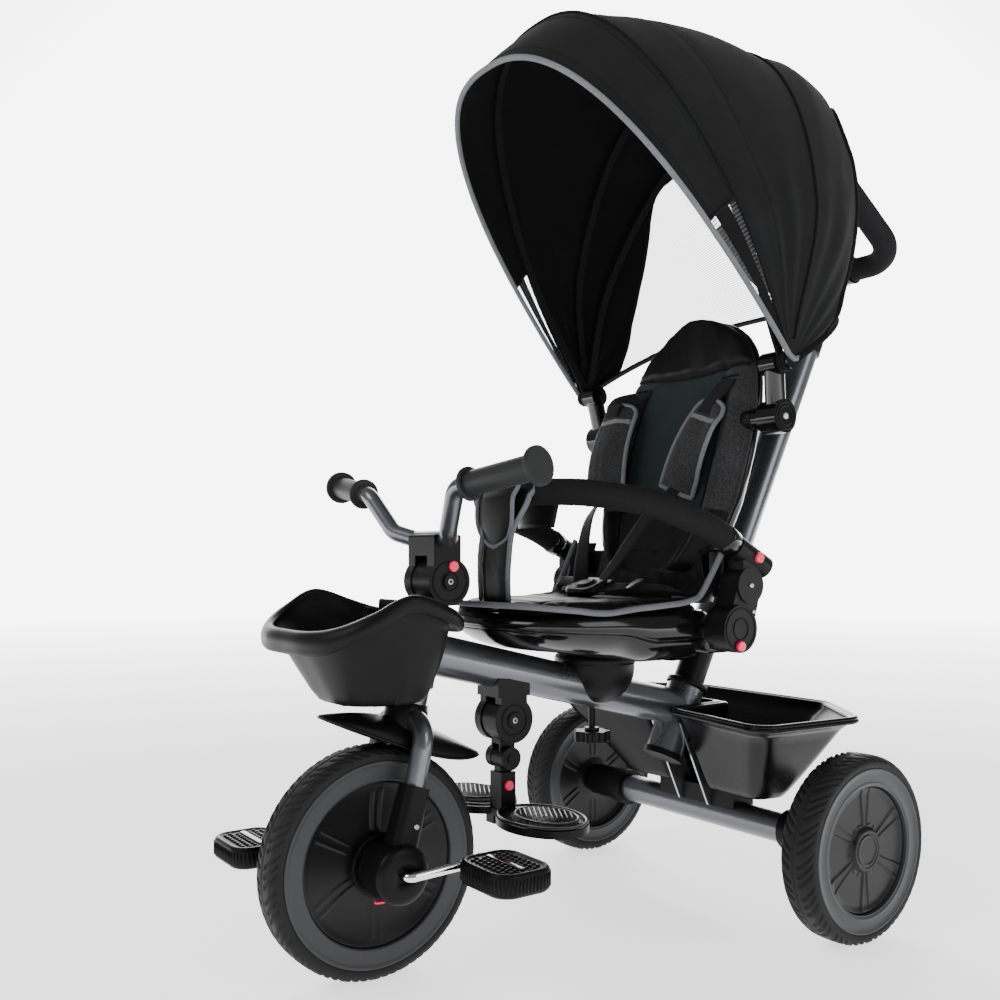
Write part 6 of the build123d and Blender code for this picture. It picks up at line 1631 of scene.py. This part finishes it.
def liner_bridge():
    """Cloth of the liner where it turns up from the seat to the backrest."""
    rows = []
    for k in range(41):
        x = -112.0 + 224.0 * k / 40
        low = Vector((x, 34.0, 385.0))
        knee = Vector((x * 0.99, 60.0, 388.0 + 2.0 * creases(x, 1.0, 20.0, 0.05)))
        top = on_back(x * 0.80, 34.0, 20.0)
        line = through([low, knee, Vector((x * 0.9, 66.0, 408.0)), top], 4.0)
        line = [line[int(i * (len(line) - 1) / 16)] for i in range(17)]
        lift = [Vector((0, -1.0, 1.0)) * (2.2 * creases(x, i * 9, 21.0, 0.05) + 2.0) for i in range(17)]
        front = [p + q for p, q in zip(line, lift)]
        rows.append(front + [p + Vector((0, 2.0, -2.0)) for p in reversed(line)])
    verts, faces = skin(rows)
    joint = ("seat", "backrest", (0, 0.050, 0.388), tuple(c * MM for c in on_back(0, 26.0, 20.0)))
    bridge = piece("liner_bridge", verts, faces, joint, satin_cloth, "black_fabric")
    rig.padded(bridge, fill=0.3)


seat_bowl()
seat_liner()
liner_bridge()
wing_pieces()
back_cover()
back_tray()
shoulder_pads()
buckle()
crotch_panel()


# ------------------------------------------------------------------ fender, pedals, footrest and small parts
def fender_leaf():
    """Arched leaf with a soft ridge, pointed at both ends."""
    front, rear = Vector((0, -391.0, 277.0)), Vector((0, -196.0, 219.0))
    steps, cols = 60, 24
    grid = []
    for i in range(steps + 1):
        s = i / steps
        spine = front.lerp(rear, s) + Vector((0, 0, 15.0 * sin(pi * s ** 0.9)))
        half = 33.5 * sin(pi * s ** 0.85) ** 0.62 if 0 < s < 1 else 0.4
        droop = 27.0 * sin(pi * s ** 1.1) ** 0.8 if 0 < s < 1 else 0.0
        row = []
        for k in range(cols + 1):
            u = -1 + 2 * k / cols
            ridge = 1.6 * exp(-(u / 0.10) ** 2) * sin(pi * s)
            row.append(spine + Vector((half * sin(u * pi / 2), 0,
                                       -droop * (1 - cos(u * pi / 2)) ** 0.9 + ridge)))
        grid.append(row)
    rows = []
    for row in grid:
        lower = [p - Vector((p.x * 0.06, 0, 2.6)) for p in reversed(row)]
        rows.append(row + lower)
    piece("fender_leaf", *skin(rows), "steering", satin, "black_plastic", hides=("fender",))
    for side, tag in SIDES:
        edge = [row[-1 if side > 0 else 0] - Vector((0, 0, 1.3)) for row in grid]
        piece(f"fender_edge_{tag}", *tube(edge, 1.7, sides=10, rounded=1.7), "steering", satin)
    collar = turned([(-16, 24.0), (-12, 25.5), (12, 23.4), (20, 22.0)], (0, -291.0, 262.0), HEAD_AXIS, 48)
    piece("fender_collar", *collar, "steering", satin)


STUD = ((0, 2.5), (1.4, 2.2), (1.9, 1.4), (1.95, 0.1))


def pedal(side, tag):
    """Block pedal with rounded ends, a studded top and ribbed sides."""
    box = [[c / MM for c in corner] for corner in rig.box(f"pedal_{tag}")]
    x0, y0, z0 = box[0]
    x1, y1, z1 = box[1]
    cx, cy, cz = (x0 + x1) / 2, (y0 + y1) / 2, (z0 + z1) / 2
    w, d, h = x1 - x0, y1 - y0, z1 - z0
    origin = Vector((cx, cy, cz))
    rows = []
    for inset, z in ((10, -h / 2), (3.0, -h / 2 + 0.4), (0.6, -h / 2 + 2.4), (0, -h / 2 + 5),
                     (0, h / 2 - 5), (0.6, h / 2 - 2.2), (2.2, h / 2 - 0.4), (4.6, h / 2 - 0.2),
                     (6.2, h / 2 - 1.6), (9.0, h / 2 - 2.0)):
        rows.append([origin + Vector((x, y, z))
                     for x, y in box_loop(w - 2 * inset, d - 2 * inset, 21 - inset, 10)])
    parts = [skin(rows)]
    for i in range(-4, 5):
        for j in range(-3, 4):
            x, y = cx + i * 7.4 + (3.7 if j % 2 else 0.0), cy + j * 7.0
            inside = hypot(max(0, abs(x - cx) - 22), max(0, abs(y - cy) - 13)) < 13
            if inside and not (abs(y - cy) < 4.5 and abs(x - cx) < 24):
                for z, up in ((z1 - 2.2, 1), (z0 + 0.4, -1)):
                    parts.append(turned(STUD, (x, y, z), (0, 0, up), 10, caps=False))
    loop = even_loop([origin + Vector((x, y, 0)) for x, y in box_loop(w, d, 21, 10)], 64)
    for p in loop:
        parts.append(tube([p + Vector((0, 0, -h / 2 + 5)), p + Vector((0, 0, h / 2 - 5))], 1.15, sides=8))
    piece(f"pedal_tread_{tag}", *joined(parts), f"pedal_{tag}_body", satin, "black_plastic",
          hides=(f"pedal_{tag}",))
    # raised bar along the spindle, with a collar at the crank's end
    bar = slab(w - 24, 8.0, 3.0, 3, 1.0, (cx, cy, z1 - 1.2), (1, 0, 0), (0, 1, 0))
    piece(f"pedal_bar_{tag}", *bar, f"pedal_{tag}_body", gloss)
    inner = x0 if side > 0 else x1
    collar = turned([(-5, 9.0), (-4, 10.2), (1, 10.8), (4, 11.0)], (inner, cy, cz), (side, 0, 0), 36)
    piece(f"pedal_collar_{tag}", *collar, f"pedal_{tag}_body", satin)


def footrest_treads():
    """Diamond hatching inside an oval line, on each pad."""
    for side, tag in SIDES:
        cx, cy, a, b, z = side * 74.0, -156.0, 41.0, 30.0, 156.2
        parts = []
        for slope in (1.0, -1.0):
            for k in range(-13, 14):
                run = []
                for t in range(-60, 61):
                    x = t * 0.75
                    y = slope * 0.62 * x + k * 6.4
                    if (x / a) ** 2 + (y / b) ** 2 < 0.93:
                        run.append(Vector((cx + x, cy + y, z)))
                if len(run) > 4:
                    parts.append(tube([run[0], run[len(run) // 2], run[-1]], 0.95, sides=8))
        oval = [(cx + a * cos(2 * pi * k / 90), cy + b * sin(2 * pi * k / 90), z) for k in range(90)]
        parts.append(tube(oval, 1.3, sides=8, closed=True))
        rim = [(side * 66 + 57.5 * cos(2 * pi * k / 120), cy + 42.5 * sin(2 * pi * k / 120), 153.3)
               for k in range(120)]
        parts.append(tube(rim, 1.6, sides=10, closed=True))
        piece(f"footrest_tread_{tag}", *joined(parts), "footrest_deck", tread_plastic)


def small_parts():
    for side, tag in SIDES:
        out = (side, 0, 0)
        screw((side * 27.0, -250.5, 411.0), out, 4.4, "steering", f"screw_fold_{tag}")
        screw((side * 21.0, -160.5, 253.0), out, 4.6, "frame", f"screw_drum_{tag}")
        screw((side * 13.0, -161.5, 209.0), out, 3.4, "footrest_leg", f"screw_knuckle_{tag}")
        screw((side * 169.0, *HINGE_YZ), out, 3.2, "seat", f"screw_hinge_{tag}")
        screw((side * 172.0, 66.0, 375.0), out, 2.6, "seat", f"screw_bracket_{tag}")
        screw((side * 170.0, *KNOB_YZ), out, 4.2, "backrest", f"screw_canopy_{tag}")
        # ringed cap on the canopy knob and on the fold discs
        for x, y, z, radii, body, name in ((170.2, *KNOB_YZ, (16.0, 11.5), "backrest", "canopy"),
                                           (27.2, -250.5, 411.0, (21.5, 10.0), "steering", "fold"),
                                           (21.2, -160.5, 253.0, (17.0, 9.0), "frame", "drum"),
                                           (172.2, 45.5, 356.0, (23.5, 12.0), "seat", "bracket")):
            parts = [tube([(side * x, y + r * cos(2 * pi * k / 64), z + r * sin(2 * pi * k / 64))
                           for k in range(64)],
                          0.9, sides=8, closed=True) for r in radii]
            piece(f"rings_{name}_{tag}", *joined(parts), body, satin)
        # sleeve where the foam starts on the guard bar
        start = Vector((side * 158.0, 88.0 - 0.887 * 47.0, 430.0 + 0.46175 * 47.0))
        sleeve = turned([(0, 13.5), (1.2, 15.6), (11.0, 16.2), (14.5, 16.2), (16.0, 14.6)], start,
                        (0, -0.887, 0.46175), 48)
        piece(f"guard_sleeve_{tag}", *sleeve, "guard", gloss)
    # rings on the hub and a short red mark on the clutch
    parts = []
    hub_y, hub_z = FRONT_HUB[1:]
    for i in range(3):
        turns = [2 * pi * k / 72 for k in range(72)]
        ring = [(26.4 + 2.8 * i, hub_y + (26.0 - i) * cos(a), hub_z + (26.0 - i) * sin(a)) for a in turns]
        parts.append(tube(ring, 1.9, sides=10, closed=True))
    for side, tag in SIDES:
        cap = lathe([(66.0, 30.0), (69.0, 29.2), (71.5, 26.5), (73.0, 22.0), (73.4, 15.0), (72.6, 9.0),
                     (67.0, 8.6)],
                    FRONT_HUB, 72, sign=side)
        piece(f"hub_cap_{tag}", *cap, "steering", satin)
        screw((side * 62.0, -313.0, 165.0), (side, 0, 0), 3.0, "steering", f"screw_leg_{tag}")
    piece("hub_bellows", *joined(parts), "steering", satin)
    arc = [(24.0, hub_y + 37.5 * cos(radians(a)), hub_z + 37.5 * sin(radians(a)))
           for a in range(256, 300, 3)]
    piece("clutch_mark", *tube(arc, 2.0, sides=12, rounded=2.0), "clutch", red)


fender_leaf()
pedal(1, "left")
pedal(-1, "right")
footrest_treads()
small_parts()


# ------------------------------------------------------------------ finishes of the CAD parts
LOOK = {
    paint: ("main_frame", "pole_stub", "rear_axle", "fork", "handlebar", "guard_bar", "push_tubes"),
    zinc: ("axle_braces",),
    chrome: ("crank",),
    dark_binding: ("rib_front", "rib_mid", "rib_rear"),
    satin: ("fold_pin", "clutch_ring", "brake_lever_left", "brake_lever_right", "frame_trims", "seat_mount",
            "footrest_clamp", "fork_legs", "fender", "stem_base", "handlebar_clamp", "pedal_left",
            "pedal_right", "star_knob", "footrest_arm", "footrest_plate", "hinge_brackets"),
    gloss: ("seat_shell", "backrest_shell", "canopy_mounts", "push_yoke"),
    grey_ring: ("front_rim", "rear_rim_left", "rear_rim_right"),
    red: ("fold_button", "footrest_button", "seat_button_left", "seat_button_right", "guard_button_left",
          "guard_button_right", "pole_button"),
    grip_rubber: ("hand_grips",),
    foam: ("guard_foam", "handle_foam"),
    melange_cloth: ("shoulder_pads",),
    satin_cloth: ("seat_cushion", "backrest_pad"),
}
for mat, names in LOOK.items():
    for name in names:
        node = cad_node(name)
        node.data.materials.clear()
        node.data.materials.append(mat)
        node.data.shade_smooth()
        node.data.set_sharp_from_angle(angle=radians(32))


# ------------------------------------------------------------------ stage
VIEW = (-0.813, 0.582, 0.007)  # the photograph's viewing direction


def white_floor():
    bpy.ops.mesh.primitive_plane_add(size=30.0, location=(0, 0, 0))
    floor = bpy.context.object
    floor.name = "floor"
    n = Nodes("floor_white")
    grain = n.add("TexNoise", {"Vector": n.add("TexCoord").outputs["Object"], "Scale": 30.0, "Detail": 3.0})
    n.link(n.mix(grain.outputs["Fac"], (0.90, 0.90, 0.905, 1), (0.93, 0.93, 0.935, 1)),
           n.shader.inputs["Base Color"])
    n.set(rough=0.75, spec=0.1)
    n.shader.inputs["Emission Color"].default_value = (1.0, 1.0, 1.0, 1)
    # the sweep glows more towards the lit wall, so that no line shows where they meet
    away = n.add("VectorMath", {0: n.add("TexCoord").outputs["Object"]}, operation="LENGTH")
    n.link(n.ranged(away.outputs["Value"], 1.35, 6.2, 1.2, 6.5), n.shader.inputs["Emission Strength"])
    floor.data.materials.append(n.mat)
    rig.stage(floor)


def studio_world():
    world = bpy.data.worlds.new("studio")
    bpy.context.scene.world = world
    world.use_nodes = True
    tree = world.node_tree
    back = tree.nodes["Background"]
    coord = tree.nodes.new("ShaderNodeTexCoord")
    facing = tree.nodes.new("ShaderNodeVectorMath")
    facing.operation = "DOT_PRODUCT"
    facing.inputs[1].default_value = (*VIEW[:2], 0.0)
    tree.links.new(coord.outputs["Generated"], facing.inputs[0])
    # the studio's lit white wall stands on one side, and the rest of the room is dim
    wall = tree.nodes.new("ShaderNodeMapRange")
    wall.interpolation_type = "SMOOTHSTEP"
    for name, value in (("From Min", 0.70), ("From Max", 0.86), ("To Min", 0.34), ("To Max", 7.0)):
        wall.inputs[name].default_value = value
    tree.links.new(facing.outputs["Value"], wall.inputs["Value"])
    back.inputs["Color"].default_value = (1.0, 1.0, 1.0, 1)
    tree.links.new(wall.outputs["Result"], back.inputs["Strength"])


def lamp(name, where, aim, size, power):
    light = bpy.data.lights.new(name, "AREA")
    light.shape = "RECTANGLE"
    light.size, light.size_y = size
    light.energy = power
    obj = bpy.data.objects.new(name, light)
    bpy.context.scene.collection.objects.link(obj)
    obj.location = where
    obj.rotation_euler = (Vector(aim) - Vector(where)).to_track_quat("-Z", "Y").to_euler()
    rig.stage(obj)


def lights_and_camera():
    lamp("key", (-0.4, -2.6, 2.6), (0, -0.05, 0.55), (1.6, 1.2), 42)
    lamp("side", (2.6, 0.6, 1.7), (0, 0.05, 0.5), (1.2, 1.6), 26)
    lamp("back", (-1.2, 2.4, 2.3), (0, 0, 0.6), (1.6, 0.8), 26)
    camera = bpy.data.objects.new("camera", bpy.data.cameras.new("camera"))
    bpy.context.scene.collection.objects.link(camera)
    camera.location = (0.9753, -0.8547, 0.4416)
    camera.rotation_euler = Vector(VIEW).to_track_quat("-Z", "Y").to_euler()
    camera.data.lens = 37.6
    camera.data.sensor_width = 36.0
    camera.data.shift_x = -0.0064
    camera.data.shift_y = 0.0459
    camera.data.clip_start = 0.01
    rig.stage(camera)
    bpy.context.scene.camera = camera


white_floor()
studio_world()
lights_and_camera()
box_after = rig.bounds()
with open("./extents.json", "w") as out:
    json.dump({"before": [list(c) for c in box_before], "after": [list(c) for c in box_after]}, out)
